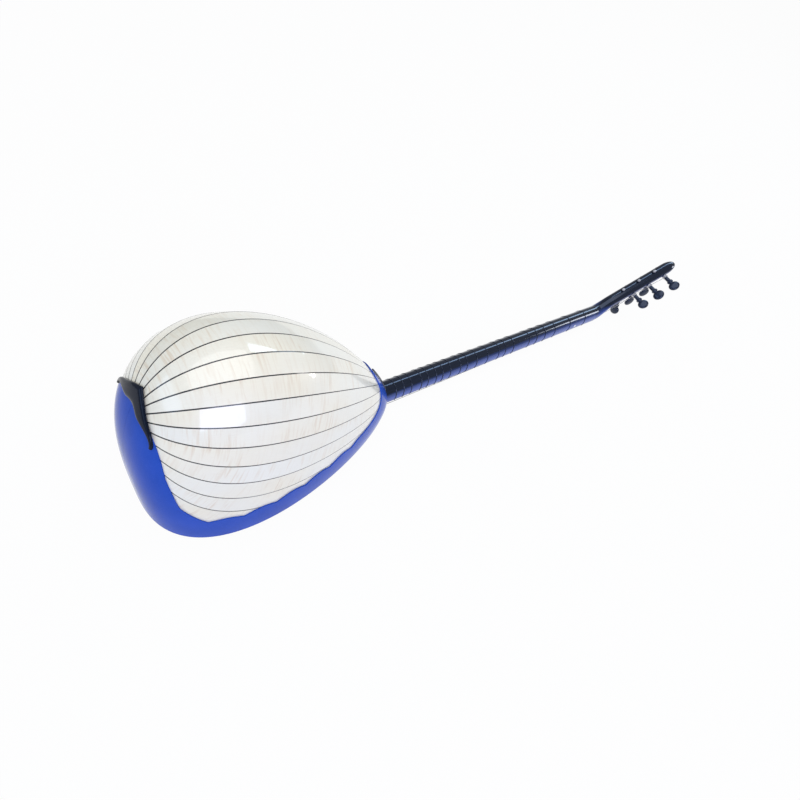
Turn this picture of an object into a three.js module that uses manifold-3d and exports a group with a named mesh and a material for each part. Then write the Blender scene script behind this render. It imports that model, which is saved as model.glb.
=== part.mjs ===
import * as THREE from "three";
import { mergeVertices } from "three/addons/utils/BufferGeometryUtils.js";
import Module from "manifold-3d";

// Electric baglama, lying face down, in millimetres. +X runs from the tail to the head and +Z out of the
// bowl's back; the side pegs point to -Y, the near side. z = 0 is the plane where the ribs meet the soundboard.

// Bowl: a pear outline and a back profile, each a rise from the tail times a fall to the heel
const bowlEnd = 390;
const tailOverhang = 8.9;
const widthSwell = 108.3;
const widthRiseShare = 0.35;
const widthFallShare = 0.71;
const widthLeanShare = -0.22;
const depthSwell = 220.6;
const depthRiseShare = 0.37;
const depthFallShare = 0.9;
const widthPower = 2.37;
const depthPower = 2.14;
const bellyX = 169.7;
const hubX = 200;

// Ribs: flat across, meeting at a pole over the tail and at another over the heel
const tailPoleX = 12.8;
const heelPoleX = 383.6;
const axisShare = 0.42;
const ribsEachSide = 9;
const ribWidth = 23.3;
const sideRibShare = 0.1115;
const ribThickness = 3;
const ribFirstAngle = 6.5;
const ribLastAngle = 171;
const ribRows = 17;
const sideRibFirstAngle = 5;
const sideRibLastAngle = 166;
const sideRibTailRows = 7;
const sideRibRows = 20;
const sideRibColumns = 7;
const seamGap = 1.3;
const purflingWidth = 0.7;
const purflingDepth = 1.8;
const purflingRingAngle = 4.8;

// Rim band: two halves of blue plastic with a scalloped edge, climbing to the cap and round the heel
const bandClearance = 0.8;
const bandSkin = 1;
const bandSideHeight = 46;
const bandTailHeight = 171;
const bandHeelHeight = 82;
const bandTailTurn = 22;
const bandTailSoftness = 3.6;
const bandHeelSpread = 14;
const scallopDepth = 6.5;
const scallopsEachSide = 12;
const scallopSteps = 5;
const scallopTailFade = 15;
const scallopHeelFade = 34;
const bandRows = 6;

// Tail cap
const capLift = 2;
const capThickness = 2.6;
const capEndAngle = 15;
const capInnerAngle = 6.5;
const capOuterAngle = 12;
const capPeakAngle = 3;
const capPeakSpread = 18;
const capEndWidthAngle = 1.2;
const capColumns = 24;

// Soundboard, blocks and braces
const seat = 0.3;
const boardThickness = 3.2;
const boardGap = 0.4;
const cavityClearance = 4;
const tailBlockDepth = 28;
const tailBlockWidth = 60;
const tailBlockHeight = 120;
const neckBlockStart = 296;
const neckBlockEnd = 376;
const neckBlockWidth = 34;
const neckBlockHeight = 70;
const braceWidth = 8;
const braceHeight = 12;
const braceLowerX = 90;
const braceUpperX = 268;
const bracePlaces = { brace_lower: braceLowerX, brace_upper: braceUpperX };

// Neck and its tied frets
const neckWidth = 35.6;
const neckDepth = 20.4;
const neckTaperShare = 0.79;
const nutX = 926.4;
const fretWidth = 2.8;
const fretRise = 0.9;
const fretSlope = 0.35;
const fretShares = [
  0.043, 0.097, 0.149, 0.182, 0.209, 0.234, 0.283, 0.308, 0.328, 0.361, 0.392, 0.419, 0.438, 0.465,
  0.486, 0.503, 0.524, 0.541, 0.566, 0.585, 0.604,
];
const neckSides = 10;
const throatStart = 348;
const throatWidth = 18;
const throatTipWidth = 2.4;
const throatThickness = 2.2;
const dotX = 862;
const dotDiameter = 5;
const dotDepth = 1.6;
const dotRise = 0.2;
const dotHeight = 4;

// Headstock, bent back from the neck
const headBend = 21.7;
const headAxisHeight = 7;
const headLength = 193.3;
const headWidth = 23;
const headThickness = 19;
const headTipLength = 22;
const headRootLength = 44;
const headPower = 2.6;
const headSides = 16;

// Pegs
const firstPeg = 69.9;
const pegPitch = 36.07;
const pegReach = 41.15;
const pegTip = 5;
const pegThickDiameter = 7;
const pegThinDiameter = 5.4;
const pegClearance = 0.3;
const pegHeadDiameter = 18;
const pegHeadThickness = 8;
const pegCollarDiameter = 9.5;
const pegCollarLength = 5;
const windingDiameter = 8.6;
const windingLength = 6;
const windingTurns = 4;
const frontPegLean = 11;
const pegTurns = { peg_front_1: 82, peg_front_2: 12, peg_front_3: 20, peg_side_1: 8, peg_side_2: 35, peg_side_3: 15 };
const pegSides = 10;

// Strings, nut, bridge and holder
const stringDiameter = 0.9;
const stringSides = 6;
const nutLength = 4;
const nutSink = 3;
const nutRise = 3;
const bridgeX = 76;
const bridgeLength = 8;
const bridgeWidth = 62;
const bridgeHeight = 10.3;
const bridgeSpread = 40;
const nutSpread = 19;
const pairGap = 3;
const notchWidth = 1.6;
const notchDepth = 1.4;
const holderX = 2;
const holderLength = 10;
const holderWidth = 62;
const holderHeight = 5;
const holderRim = 0.8;

// Electrics
const pickupX = 262;
const pickupWidth = 19;
const pickupSpan = 76;
const pickupHeight = 4.4;
const pickupCorner = 6;
const poleDiameter = 5;
const poleRise = 0.6;
const volumeKnobX = 112;
const volumeKnobY = -62;
const toneKnobX = 150;
const toneKnobY = -66;
const knobPlaces = { volume: [volumeKnobX, volumeKnobY], tone: [toneKnobX, toneKnobY] };
const knobDiameter = 17;
const knobHeight = 6.6;
const knobTopDiameter = 15;
const knobWall = 1.4;
const knobSides = 24;
const shaftDiameter = 6;
const shaftClearance = 0.3;
const bushingDiameter = 7;
const controlDiameter = 17;
const controlHeight = 9;
const socketX = 160;
const socketZ = 17;
const socketFlangeDiameter = 20;
const socketFlangeThickness = 2.4;
const socketStand = 0.8;
const socketBarrelDiameter = 11;
const socketBarrelLength = 24;
const socketBoreDiameter = 6.6;
const socketBoreDepth = 20;
const socketSides = 24;

const degree = Math.PI / 180;
const wasm = await Module();
wasm.setup();

// Solids from rows of points

function closedGeometry(points, faces) {
  let sixVolumes = 0;
  const across = new THREE.Vector3();
  for (const [a, b, c] of faces) sixVolumes += points[a].dot(across.crossVectors(points[b], points[c]));
  const turned = sixVolumes < 0 ? faces.map(([a, b, c]) => [a, c, b]) : faces;
  const geometry = new THREE.BufferGeometry();
  geometry.setAttribute("position", new THREE.Float32BufferAttribute(points.flatMap((p) => [p.x, p.y, p.z]), 3));
  geometry.setIndex(turned.flat());
  return geometry;
}

// A tube through closed rings with the same number of points, each end closed by a fan about its middle.
function loft(rings) {
  const count = rings[0].length;
  const points = rings.flat();
  const faces = [];
  for (let i = 0; i + 1 < rings.length; i++)
    for (let j = 0; j < count; j++) {
      const a = i * count + j;
      const b = i * count + ((j + 1) % count);
      faces.push([a, b, b + count], [a, b + count, a + count]);
    }
  for (const [ring, first, outward] of [
    [rings[0], 0, false],
    [rings[rings.length - 1], (rings.length - 1) * count, true],
  ]) {
    const middle = ring.reduce((sum, p) => sum.add(p), new THREE.Vector3()).divideScalar(count);
    const hub = points.push(middle) - 1;
    for (let j = 0; j < count; j++) {
      const a = first + j;
      const b = first + ((j + 1) % count);
      faces.push(outward ? [a, b, hub] : [b, a, hub]);
    }
  }
  return closedGeometry(points, faces);
}

// A sheet between two grids of points with the same rows and columns.
function sheet(outer, inner) {
  const rows = outer.length;
  const columns = outer[0].length;
  const points = [...outer.flat(), ...inner.flat()];
  const back = rows * columns;
  const at = (i, j) => i * columns + j;
  const faces = [];
  const wall = (a, b) => faces.push([a, b, b + back], [a, b + back, a + back]);
  for (let i = 0; i + 1 < rows; i++)
    for (let j = 0; j + 1 < columns; j++) {
      const [a, b, c, d] = [at(i, j), at(i, j + 1), at(i + 1, j + 1), at(i + 1, j)];
      faces.push([a, b, c], [a, c, d], [a + back, c + back, b + back], [a + back, d + back, c + back]);
    }
  for (let j = 0; j + 1 < columns; j++) {
    wall(at(0, j + 1), at(0, j));
    wall(at(rows - 1, j), at(rows - 1, j + 1));
  }
  for (let i = 0; i + 1 < rows; i++) {
    wall(at(i, 0), at(i + 1, 0));
    wall(at(i + 1, columns - 1), at(i, columns - 1));
  }
  return closedGeometry(points, faces);
}

function toSolid(geometry) {
  const bare = geometry.clone();
  bare.deleteAttribute("normal");
  bare.deleteAttribute("uv");
  const merged = mergeVertices(bare, 1e-4);
  return new wasm.Manifold(
    new wasm.Mesh({
      numProp: 3,
      vertProperties: merged.attributes.position.array,
      triVerts: new Uint32Array(merged.index.array),
    }),
  );
}

function toGeometry(solid) {
  const mesh = solid.getMesh();
  const geometry = new THREE.BufferGeometry();
  geometry.setAttribute("position", new THREE.Float32BufferAttribute(mesh.vertProperties, mesh.numProp));
  geometry.setIndex(new THREE.BufferAttribute(mesh.triVerts, 1));
  return geometry;
}

const cut = (geometry, ...tools) =>
  toGeometry(tools.reduce((left, tool) => left.subtract(toSolid(tool)), toSolid(geometry)));
const join = (...pieces) => toGeometry(pieces.map(toSolid).reduce((sum, piece) => sum.add(piece)));
const common = (a, b) => toGeometry(toSolid(a).intersect(toSolid(b)));

function box(x0, x1, y0, y1, z0, z1) {
  const geometry = new THREE.BoxGeometry(x1 - x0, y1 - y0, z1 - z0);
  return geometry.translate((x0 + x1) / 2, (y0 + y1) / 2, (z0 + z1) / 2);
}

// A turned solid whose axis starts at a point and runs along a direction; the profile is [radius, distance].
function turned(profile, sides, origin, direction) {
  const closed = [[0, profile[0][1]], ...profile, [0, profile[profile.length - 1][1]]];
  const geometry = new THREE.LatheGeometry(closed.map(([r, z]) => new THREE.Vector2(r, z)), sides);
  const turn = new THREE.Quaternion().setFromUnitVectors(new THREE.Vector3(0, 1, 0), direction);
  return geometry.applyQuaternion(turn).translate(origin.x, origin.y, origin.z);
}

// The bowl's surface

const swellCurve = (share, rise, fall, lean) => share ** rise * (1 - share) ** fall * Math.exp(lean * share);

function swellPeak(rise, fall, lean) {
  let peak = 0;
  for (let i = 1; i < 400; i++) peak = Math.max(peak, swellCurve(i / 400, rise, fall, lean));
  return peak;
}

const widthPeak = swellPeak(widthRiseShare, widthFallShare, widthLeanShare);
const depthPeak = swellPeak(depthRiseShare, depthFallShare, 0);

function alongBowl(x) {
  return Math.min(1, Math.max(0, (x + tailOverhang) / (bowlEnd + tailOverhang)));
}

function bowlHalfWidth(x) {
  const share = alongBowl(x);
  const swell = swellCurve(share, widthRiseShare, widthFallShare, widthLeanShare) / widthPeak;
  return widthSwell * swell + (neckWidth / 2) * share;
}

function bowlHeight(x) {
  const share = alongBowl(x);
  return (depthSwell * swellCurve(share, depthRiseShare, depthFallShare, 0)) / depthPeak + neckDepth * share;
}

// Below 0 inside the bowl, 0 on its surface.
function outside(p) {
  if (p.x <= -tailOverhang || p.x >= bowlEnd) return 1;
  const across = (Math.abs(p.y) / bowlHalfWidth(p.x)) ** widthPower;
  const up = (Math.abs(p.z) / bowlHeight(p.x)) ** depthPower;
  return across + up - 1;
}

const surfaceStep = bowlEnd * 2e-6;
const flatEndStep = bowlEnd * 1e-5;

function bowlNormal(p) {
  if (p.x > bowlEnd - flatEndStep) return new THREE.Vector3(1, 0, 0);
  const slope = (axis) => {
    const ahead = p.clone();
    const behind = p.clone();
    ahead[axis] += surfaceStep;
    behind[axis] -= surfaceStep;
    if (axis === "x") {
      ahead.x = Math.max(ahead.x, -tailOverhang + surfaceStep);
      behind.x = Math.max(behind.x, -tailOverhang + surfaceStep / 2);
    }
    return (outside(ahead) - outside(behind)) / (ahead[axis] - behind[axis]);
  };
  return new THREE.Vector3(slope("x"), slope("y"), slope("z")).normalize();
}

// Where a ray from inside the bowl leaves it.
function leaveBowl(origin, direction) {
  let near = 0;
  let far = bowlEnd + 2 * tailOverhang;
  for (let i = 0; i < 40; i++) {
    const middle = (near + far) / 2;
    if (outside(origin.clone().addScaledVector(direction, middle)) < 0) near = middle;
    else far = middle;
  }
  return origin.clone().addScaledVector(direction, near);
}

const lifted = (p, distance) => p.clone().addScaledVector(bowlNormal(p), distance);

const tailPole = new THREE.Vector3(tailPoleX, 0, bowlHeight(tailPoleX));
const heelPole = new THREE.Vector3(heelPoleX, 0, bowlHeight(heelPoleX));
const poleAxis = heelPole.clone().sub(tailPole).normalize();
const crownAxis = new THREE.Vector3(-poleAxis.z, 0, poleAxis.x);
const middlePoint = tailPole.clone().lerp(heelPole, axisShare);

// A place on the bowl by its turn round the pole axis (near side 0, crown 90) and its angle from the tail pole.
function bowlPoint(turnAngle, poleAngle) {
  const turn = turnAngle * degree;
  const lean = poleAngle * degree;
  const direction = poleAxis.clone().multiplyScalar(-Math.cos(lean));
  direction.y -= Math.sin(lean) * Math.cos(turn);
  direction.addScaledVector(crownAxis, Math.sin(lean) * Math.sin(turn));
  return leaveBowl(middlePoint, direction);
}

// The belly's section from the crown down to the rim, and the distance along it to each of its points.
const beltSteps = 720;
const belt = Array.from({ length: beltSteps + 1 }, (_, i) => {
  const angle = ((i / beltSteps) * Math.PI) / 2;
  const y = bowlHalfWidth(bellyX) * Math.sin(angle) ** (2 / widthPower);
  return new THREE.Vector3(bellyX, -y, bowlHeight(bellyX) * Math.cos(angle) ** (2 / depthPower));
});
const beltLengths = [0];
for (let i = 1; i <= beltSteps; i++) beltLengths.push(beltLengths[i - 1] + belt[i].distanceTo(belt[i - 1]));

// The ribs widen evenly from the crown, so that the last seam leaves the side rib its share of the section.
const lastSeamLength = beltLengths[beltSteps] * (1 - sideRibShare);
const ribGrowth = (lastSeamLength - ribsEachSide * ribWidth) / ribsEachSide ** 2;

// The turn of a seam, counted from the crown, from its distance along the belly's section.
function seamTurn(number) {
  const count = Math.abs(number);
  const wanted = count * ribWidth + count ** 2 * ribGrowth;
  const arm = belt[beltLengths.findIndex((length) => length >= wanted)].clone().sub(middlePoint);
  const nearTurn = Math.atan2(arm.dot(crownAxis), -arm.y) / degree;
  return number >= 0 ? nearTurn : 180 - nearTurn;
}

// Angles from pole to pole, closer together at both ends.
function poleAngles(first, last, rows) {
  const easing = 0.06;
  return Array.from({ length: rows }, (_, i) => {
    const share = i / (rows - 1);
    return first + (last - first) * (share - easing * Math.sin(2 * Math.PI * share));
  });
}

// Ribs, side ribs and the purfling between them

function ribGeometry(number) {
  const rings = poleAngles(ribFirstAngle, ribLastAngle, ribRows).map((poleAngle) => {
    const left = bowlPoint(seamTurn(number), poleAngle);
    const right = bowlPoint(seamTurn(number + 1), poleAngle);
    const across = right.clone().sub(left).normalize();
    left.addScaledVector(across, seamGap / 2);
    right.addScaledVector(across, -seamGap / 2);
    return [left, right, lifted(right, -ribThickness), lifted(left, -ribThickness)];
  });
  return loft(rings);
}

// The turn at which the bowl's surface reaches the rim plane, or straight down where it stays above it.
function rimTurn(poleAngle) {
  let low = -90;
  let high = 0;
  if (bowlPoint(low, poleAngle).z > 0) return low;
  for (let i = 0; i < 40; i++) {
    const middle = (low + high) / 2;
    if (bowlPoint(middle, poleAngle).z > 0) high = middle;
    else low = middle;
  }
  return high;
}

const tailRimArm = new THREE.Vector3(-tailOverhang, 0, 0).sub(middlePoint).normalize();
const tailRimAngle = Math.acos(-tailRimArm.dot(poleAxis)) / degree;

function sideRibGeometry(side) {
  const angles = [];
  for (let i = 0; i < sideRibTailRows; i++)
    angles.push(sideRibFirstAngle + ((tailRimAngle - sideRibFirstAngle) * i) / sideRibTailRows);
  for (let i = 0; i < sideRibRows; i++)
    angles.push(tailRimAngle + ((sideRibLastAngle - tailRimAngle) * i) / (sideRibRows - 1));
  const top = seamTurn(ribsEachSide);
  const outer = angles.map((poleAngle) => {
    const bottom = rimTurn(poleAngle);
    const row = Array.from({ length: sideRibColumns }, (_, j) =>
      bowlPoint(top + ((bottom - top) * j) / (sideRibColumns - 1), poleAngle),
    );
    row[0].lerp(row[1], (seamGap / 2 + ribThickness / 20) / row[0].distanceTo(row[1]));
    return row;
  });
  const inner = outer.map((row) => row.map((p) => lifted(p, -ribThickness)));
  for (const row of [...outer, ...inner])
    for (const p of row) {
      p.y = Math.min(p.y, -seamGap / 2) * side;
      p.z = Math.max(p.z, 0);
    }
  return sheet(outer, inner);
}

function purflingGeometry() {
  const strips = [];
  for (let number = -ribsEachSide; number <= ribsEachSide; number++) {
    const turn = seamTurn(number);
    const angles = poleAngles(purflingRingAngle + 1, ribLastAngle, ribRows);
    const rings = angles.map((poleAngle) => {
      const top = bowlPoint(turn, poleAngle);
      const ahead = bowlPoint(turn + 1, poleAngle).sub(top).normalize();
      const side = ahead.multiplyScalar(purflingWidth / 2);
      const bottom = lifted(top, -purflingDepth);
      return [top.clone().add(side), top.clone().sub(side), bottom];
    });
    strips.push(loft(rings));
  }
  const first = seamTurn(ribsEachSide) - 1;
  const last = seamTurn(-ribsEachSide) + 1;
  const columns = 4 * ribsEachSide;
  const grid = (depth) =>
    [purflingRingAngle, ribFirstAngle - 0.35].map((poleAngle) =>
      Array.from({ length: columns + 1 }, (_, j) =>
        lifted(bowlPoint(first + ((last - first) * j) / columns, poleAngle), -depth),
      ),
    );
  return join(sheet(grid(purflingDepth / 4), grid(purflingDepth)), ...strips);
}

// Rim band

const hub = (z) => new THREE.Vector3(hubX, 0, z);
const planDirection = (angle) => new THREE.Vector3(-Math.cos(angle * degree), -Math.sin(angle * degree), 0);

// The band's plain edge, by the plan angle from the tail.
function bandEdge(angle) {
  const tail = 1 / (1 + Math.exp((angle - bandTailTurn) / bandTailSoftness));
  const heel = Math.exp(-(((180 - angle) / bandHeelSpread) ** 2));
  return bandSideHeight + (bandTailHeight - bandSideHeight) * tail + (bandHeelHeight - bandSideHeight) * heel;
}

// Columns at equal steps along the plain edge, so that each cusp falls on one.
function bandColumns() {
  const fine = 720;
  const angles = Array.from({ length: fine + 1 }, (_, i) => (180 * i) / fine);
  const edge = angles.map((angle) => leaveBowl(hub(bandEdge(angle)), planDirection(angle)));
  const lengths = [0];
  for (let i = 1; i <= fine; i++) lengths.push(lengths[i - 1] + edge[i].distanceTo(edge[i - 1]));
  const count = scallopsEachSide * scallopSteps;
  return Array.from({ length: count + 1 }, (_, j) => {
    const wanted = (lengths[fine] * j) / count;
    const i = Math.min(fine - 1, lengths.findIndex((length) => length > wanted - surfaceStep) - 1);
    const before = Math.max(0, i);
    const share = (wanted - lengths[before]) / (lengths[before + 1] - lengths[before]);
    return angles[before] + (angles[before + 1] - angles[before]) * Math.min(1, share);
  });
}

const columns = bandColumns();

function scallop(column) {
  const angle = columns[column];
  const tailFade = Math.min(1, Math.max(0, angle / scallopTailFade - 1));
  const heelFade = Math.min(1, Math.max(0, (180 - angle) / scallopHeelFade - 1) * 3);
  const lobe = Math.sin((Math.PI * (column % scallopSteps)) / scallopSteps);
  return -scallopDepth * (1 - lobe) * tailFade * heelFade;
}

function bandGeometry(side) {
  const rows = [-boardThickness - seat];
  for (let i = 0; i <= bandRows; i++) rows.push(i / bandRows);
  const layer = (distance) =>
    rows.map((row) =>
      columns.map((angle, column) => {
        const height = Math.max(0, row) * (bandEdge(angle) + scallop(column));
        const p = lifted(leaveBowl(hub(height), planDirection(angle)), distance);
        p.y = Math.min(p.y, -seat / 2) * side;
        if (row < 0) p.z = row;
        return p;
      }),
    );
  return sheet(layer(bandClearance + bandSkin), layer(bandClearance));
}

// Tail cap: a crescent over the band's upper edge and the ends of the ribs

function capGeometry() {
  const layer = (distance) =>
    Array.from({ length: capColumns + 1 }, (_, i) => {
      const turn = (180 * i) / capColumns;
      const toEnd = Math.abs(Math.cos(turn * degree)) ** 8;
      const peak = Math.exp(-Math.abs(turn - 90) / capPeakSpread);
      const inner = capInnerAngle + (capEndAngle - capInnerAngle) * toEnd;
      const endWidth = capEndAngle + capEndWidthAngle - capOuterAngle;
      const outer = capOuterAngle + capPeakAngle * peak + endWidth * toEnd;
      return [0, 0.5, 1].map((share) => lifted(bowlPoint(turn, inner + (outer - inner) * share), distance));
    });
  return sheet(layer(capLift + capThickness), layer(capLift));
}

// Soundboard, blocks and braces

const boardTop = -seat;
const boardFace = boardTop - boardThickness;

function boardOutline() {
  const near = columns.map((angle) => lifted(leaveBowl(hub(0), planDirection(angle)), bandClearance - boardGap));
  const far = near.slice(1, -1).reverse();
  return [...near.map((p) => new THREE.Vector2(p.x, p.y)), ...far.map((p) => new THREE.Vector2(p.x, -p.y))];
}

function boardGeometry() {
  const shape = new THREE.Shape(boardOutline());
  for (const [x, y] of Object.values(knobPlaces)) {
    const hole = new THREE.Path();
    hole.absarc(x, y, bushingDiameter / 2 + seat, 0, 2 * Math.PI, true);
    shape.holes.push(hole);
  }
  const geometry = new THREE.ExtrudeGeometry(shape, {
    depth: boardThickness,
    bevelEnabled: false,
    curveSegments: knobSides / 2,
  });
  return geometry.translate(0, 0, boardFace);
}

// The bowl's inside, a little clear of the ribs, as a solid to shape what stands in it.
function cavityGeometry() {
  const turns = 36;
  const depth = ribThickness + cavityClearance;
  const rings = [4, 9, 16, 25, 35, 47, 60, 75, 90, 105, 120, 133, 145, 154, 161, 166, 170].map((poleAngle) =>
    Array.from({ length: turns }, (_, i) => lifted(bowlPoint((360 * i) / turns, poleAngle), -depth)),
  );
  return loft(rings);
}

const cavity = cavityGeometry();

// Neck with its throat, one tied fret after another, and the side dot

const neckStart = bowlEnd + bandClearance + bandSkin + seat;

function neckShare(x) {
  const along = Math.min(1, Math.max(0, (x - bowlEnd) / (nutX - bowlEnd)));
  return 1 - (1 - neckTaperShare) * along;
}

function neckRing(x, rise) {
  const halfWidth = (neckWidth / 2) * neckShare(x) + rise;
  const depth = neckDepth * neckShare(x) + rise;
  const ring = [];
  for (let i = 0; i <= neckSides; i++) {
    const angle = (Math.PI * i) / neckSides;
    const across = Math.sign(Math.cos(angle)) * Math.abs(Math.cos(angle)) ** (2 / depthPower);
    ring.push(new THREE.Vector3(x, -halfWidth * across, depth * Math.sin(angle) ** (2 / depthPower)));
  }
  ring.push(new THREE.Vector3(x, halfWidth, boardFace - rise), new THREE.Vector3(x, -halfWidth, boardFace - rise));
  return ring;
}

function throatGeometry() {
  const steps = 6;
  const base = bandClearance + bandSkin + seat;
  const rings = [];
  for (let i = 0; i <= steps; i++) {
    const x = throatStart + ((bowlEnd - seat - throatStart) * i) / steps;
    const width = throatTipWidth + ((throatWidth - throatTipWidth) * i) / steps;
    const row = [-0.5, -0.3, 0, 0.3, 0.5].map((share) => {
      const y = width * share;
      const z = bowlHeight(x) * (1 - Math.abs(y / bowlHalfWidth(x)) ** widthPower) ** (1 / depthPower);
      return new THREE.Vector3(x, y, z);
    });
    const crown = [0.45, 0.85, 1, 0.85, 0.45];
    const top = row.map((p, j) => lifted(p, base + throatThickness * crown[j]));
    rings.push([...top, ...row.map((p) => lifted(p, base)).reverse()]);
  }
  const buried = rings[steps].map((p) => {
    const q = p.clone();
    q.x = neckStart + throatThickness;
    q.z = Math.min(q.z, neckDepth - seat) - throatThickness;
    q.y *= 0.8;
    return q;
  });
  return loft([...rings, buried]);
}

const fretPlaces = fretShares.map((share) => nutX - share * (nutX - bridgeX)).reverse();

const dotPlace = new THREE.Vector3(dotX, -(neckWidth / 2) * neckShare(dotX), dotHeight);
const towardNear = new THREE.Vector3(0, -1, 0);

function dotSolid(diameter, extraDepth) {
  const start = dotPlace.clone();
  start.y += dotDepth + extraDepth;
  const length = dotDepth + extraDepth + (extraDepth > 0 ? dotDepth : dotRise);
  return turned([[diameter / 2, 0], [diameter / 2, length]], pegSides, start, towardNear);
}

function neckGeometry() {
  const rings = [neckRing(neckStart, 0)];
  for (const x of fretPlaces) {
    const half = fretWidth / 2;
    rings.push(neckRing(x - half, 0), neckRing(x - half + fretSlope, fretRise));
    rings.push(neckRing(x + half - fretSlope, fretRise), neckRing(x + half, 0));
  }
  rings.push(neckRing(nutX - seat, 0));
  return cut(join(loft(rings), throatGeometry()), dotSolid(dotDiameter + 2 * seat, seat));
}

// Headstock

const bend = headBend * degree;
const headAlong = new THREE.Vector3(Math.cos(bend), 0, Math.sin(bend));
const headUp = new THREE.Vector3(-Math.sin(bend), 0, Math.cos(bend));
const sideways = new THREE.Vector3(0, 1, 0);
const headRoot = new THREE.Vector3(nutX, 0, headAxisHeight);
const nutSeat = boardFace + nutSink;

function headPlace(along, across, up) {
  return headRoot.clone().addScaledVector(headAlong, along).addScaledVector(sideways, across).addScaledVector(headUp, up);
}

function ovalRing(centre, upward, halfWidth, halfHeight) {
  return Array.from({ length: headSides }, (_, i) => {
    const angle = (2 * Math.PI * i) / headSides;
    const round = (value) => Math.sign(value) * Math.abs(value) ** (2 / headPower);
    const p = centre.clone().addScaledVector(sideways, halfWidth * round(Math.cos(angle)));
    return p.addScaledVector(upward, halfHeight * round(Math.sin(angle)));
  });
}

function headRootRing(x, halfWidth, depth) {
  return Array.from({ length: headSides }, (_, i) => {
    const angle = (2 * Math.PI * i) / headSides;
    const round = (value) => Math.sign(value) * Math.abs(value) ** (2 / depthPower);
    const height = Math.sin(angle) > 0 ? depth : -nutSeat;
    return new THREE.Vector3(x, halfWidth * round(Math.cos(angle)), height * round(Math.sin(angle)));
  });
}

function headGeometry() {
  const rootTop = neckDepth * neckTaperShare;
  const rootWidth = (neckWidth / 2) * neckTaperShare;
  const rings = [headRootRing(nutX, rootWidth, rootTop), headRootRing(nutX + nutLength + 2 * seat, rootWidth, rootTop)];
  const end = headLength - headTipLength;
  for (const share of [0.4, 0.7, 1]) {
    const halfWidth = rootWidth + (headWidth / 2 - rootWidth) * share;
    const tilt = new THREE.Vector3(0, 0, 1).lerp(headUp, share).normalize();
    rings.push(ovalRing(headPlace(headRootLength * share, 0, 0), tilt, halfWidth, headThickness / 2));
  }
  for (const share of [0.35, 0.7, 1])
    rings.push(
      ovalRing(headPlace(headRootLength + (end - headRootLength) * share, 0, 0), headUp, headWidth / 2, headThickness / 2),
    );
  for (const angle of [30, 55, 75, 87]) {
    const shrink = Math.cos(angle * degree);
    const along = end + headTipLength * Math.sin(angle * degree);
    rings.push(ovalRing(headPlace(along, 0, 0), headUp, (headWidth / 2) * shrink, (headThickness / 2) * shrink));
  }
  return loft(rings);
}

// Pegs: a tapered shaft through the headstock, with a winding, a collar and a flat round head

function pegPlaces() {
  const lean = frontPegLean * degree;
  const places = [];
  for (let i = 0; i < 3; i++) {
    const frontAxis = headUp.clone().multiplyScalar(Math.cos(lean)).addScaledVector(sideways, Math.sin(lean));
    places.push({
      name: "peg_front_" + (i + 1),
      centre: headPlace(firstPeg + i * pegPitch, 0, 0),
      axis: frontAxis.negate(),
      halfBody: headThickness / 2,
    });
    places.push({
      name: "peg_side_" + (i + 1),
      centre: headPlace(firstPeg + (i + 0.5) * pegPitch, 0, 0),
      axis: new THREE.Vector3(0, -1, 0),
      halfBody: headWidth / 2,
    });
  }
  return places;
}

// The shaft's radius at a distance from the headstock's middle, thick at the head end.
function pegRadius(distance, halfBody) {
  const share = (distance + halfBody + pegTip) / (pegReach + halfBody + pegTip);
  return pegThinDiameter / 2 + ((pegThickDiameter - pegThinDiameter) / 2) * share;
}

function pegGeometry(peg) {
  const { centre, axis, halfBody } = peg;
  const discFoot = pegReach - pegHeadDiameter / 2;
  const windingStart = halfBody + 2 * pegClearance;
  const profile = [[pegRadius(-halfBody - pegTip, halfBody) - pegClearance, -halfBody - pegTip]];
  profile.push([pegRadius(-halfBody - pegTip, halfBody), -halfBody - pegTip + pegClearance]);
  profile.push([pegRadius(windingStart, halfBody), windingStart]);
  for (let i = 0; i < windingTurns; i++) {
    const start = windingStart + (windingLength * i) / windingTurns;
    profile.push([windingDiameter / 2, start + windingLength / windingTurns / 2]);
    profile.push([(windingDiameter - stringDiameter) / 2, start + windingLength / windingTurns]);
  }
  profile.push([pegRadius(windingStart + windingLength, halfBody), windingStart + windingLength + pegClearance]);
  profile.push([pegRadius(discFoot, halfBody), discFoot - pegCollarLength]);
  profile.push([pegCollarDiameter / 2, discFoot - pegCollarLength / 2], [pegCollarDiameter / 2, discFoot + 1 * pegClearance]);
  profile.push([pegThinDiameter / 2, discFoot + pegHeadDiameter / 3]);
  const shaft = turned(profile, pegSides, centre, axis);
  const base = Math.abs(axis.dot(headAlong)) > 0.9 ? sideways : headAlong;
  const across = base.clone().cross(axis).normalize().applyAxisAngle(axis, pegTurns[peg.name] * degree);
  const discRadius = pegHeadDiameter / 2;
  const edge = pegHeadThickness / 4;
  const discStart = centre.clone().addScaledVector(axis, pegReach).addScaledVector(across, -pegHeadThickness / 2);
  const disc = turned(
    [
      [discRadius - edge, 0],
      [discRadius, edge],
      [discRadius, pegHeadThickness - edge],
      [discRadius - edge, pegHeadThickness],
    ],
    pegSides + 4,
    discStart,
    across,
  );
  return join(shaft, disc);
}

function pegBore(peg) {
  const { centre, axis, halfBody } = peg;
  const far = halfBody + 2 * pegTip;
  return turned(
    [
      [pegRadius(-far, halfBody) + pegClearance, -far],
      [pegRadius(far, halfBody) + pegClearance, far],
    ],
    pegSides,
    centre,
    axis,
  );
}

// Strings, bridge, nut and holder

const bridgeTop = boardFace - bridgeHeight;
const nutTop = boardFace - nutRise;
const bridgeLine = bridgeTop + notchDepth - seat - stringDiameter / 2;
const nutLine = nutTop + notchDepth - seat - stringDiameter / 2;
const courses = [-1, -1, 0, 0, 1, 1];

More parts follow.
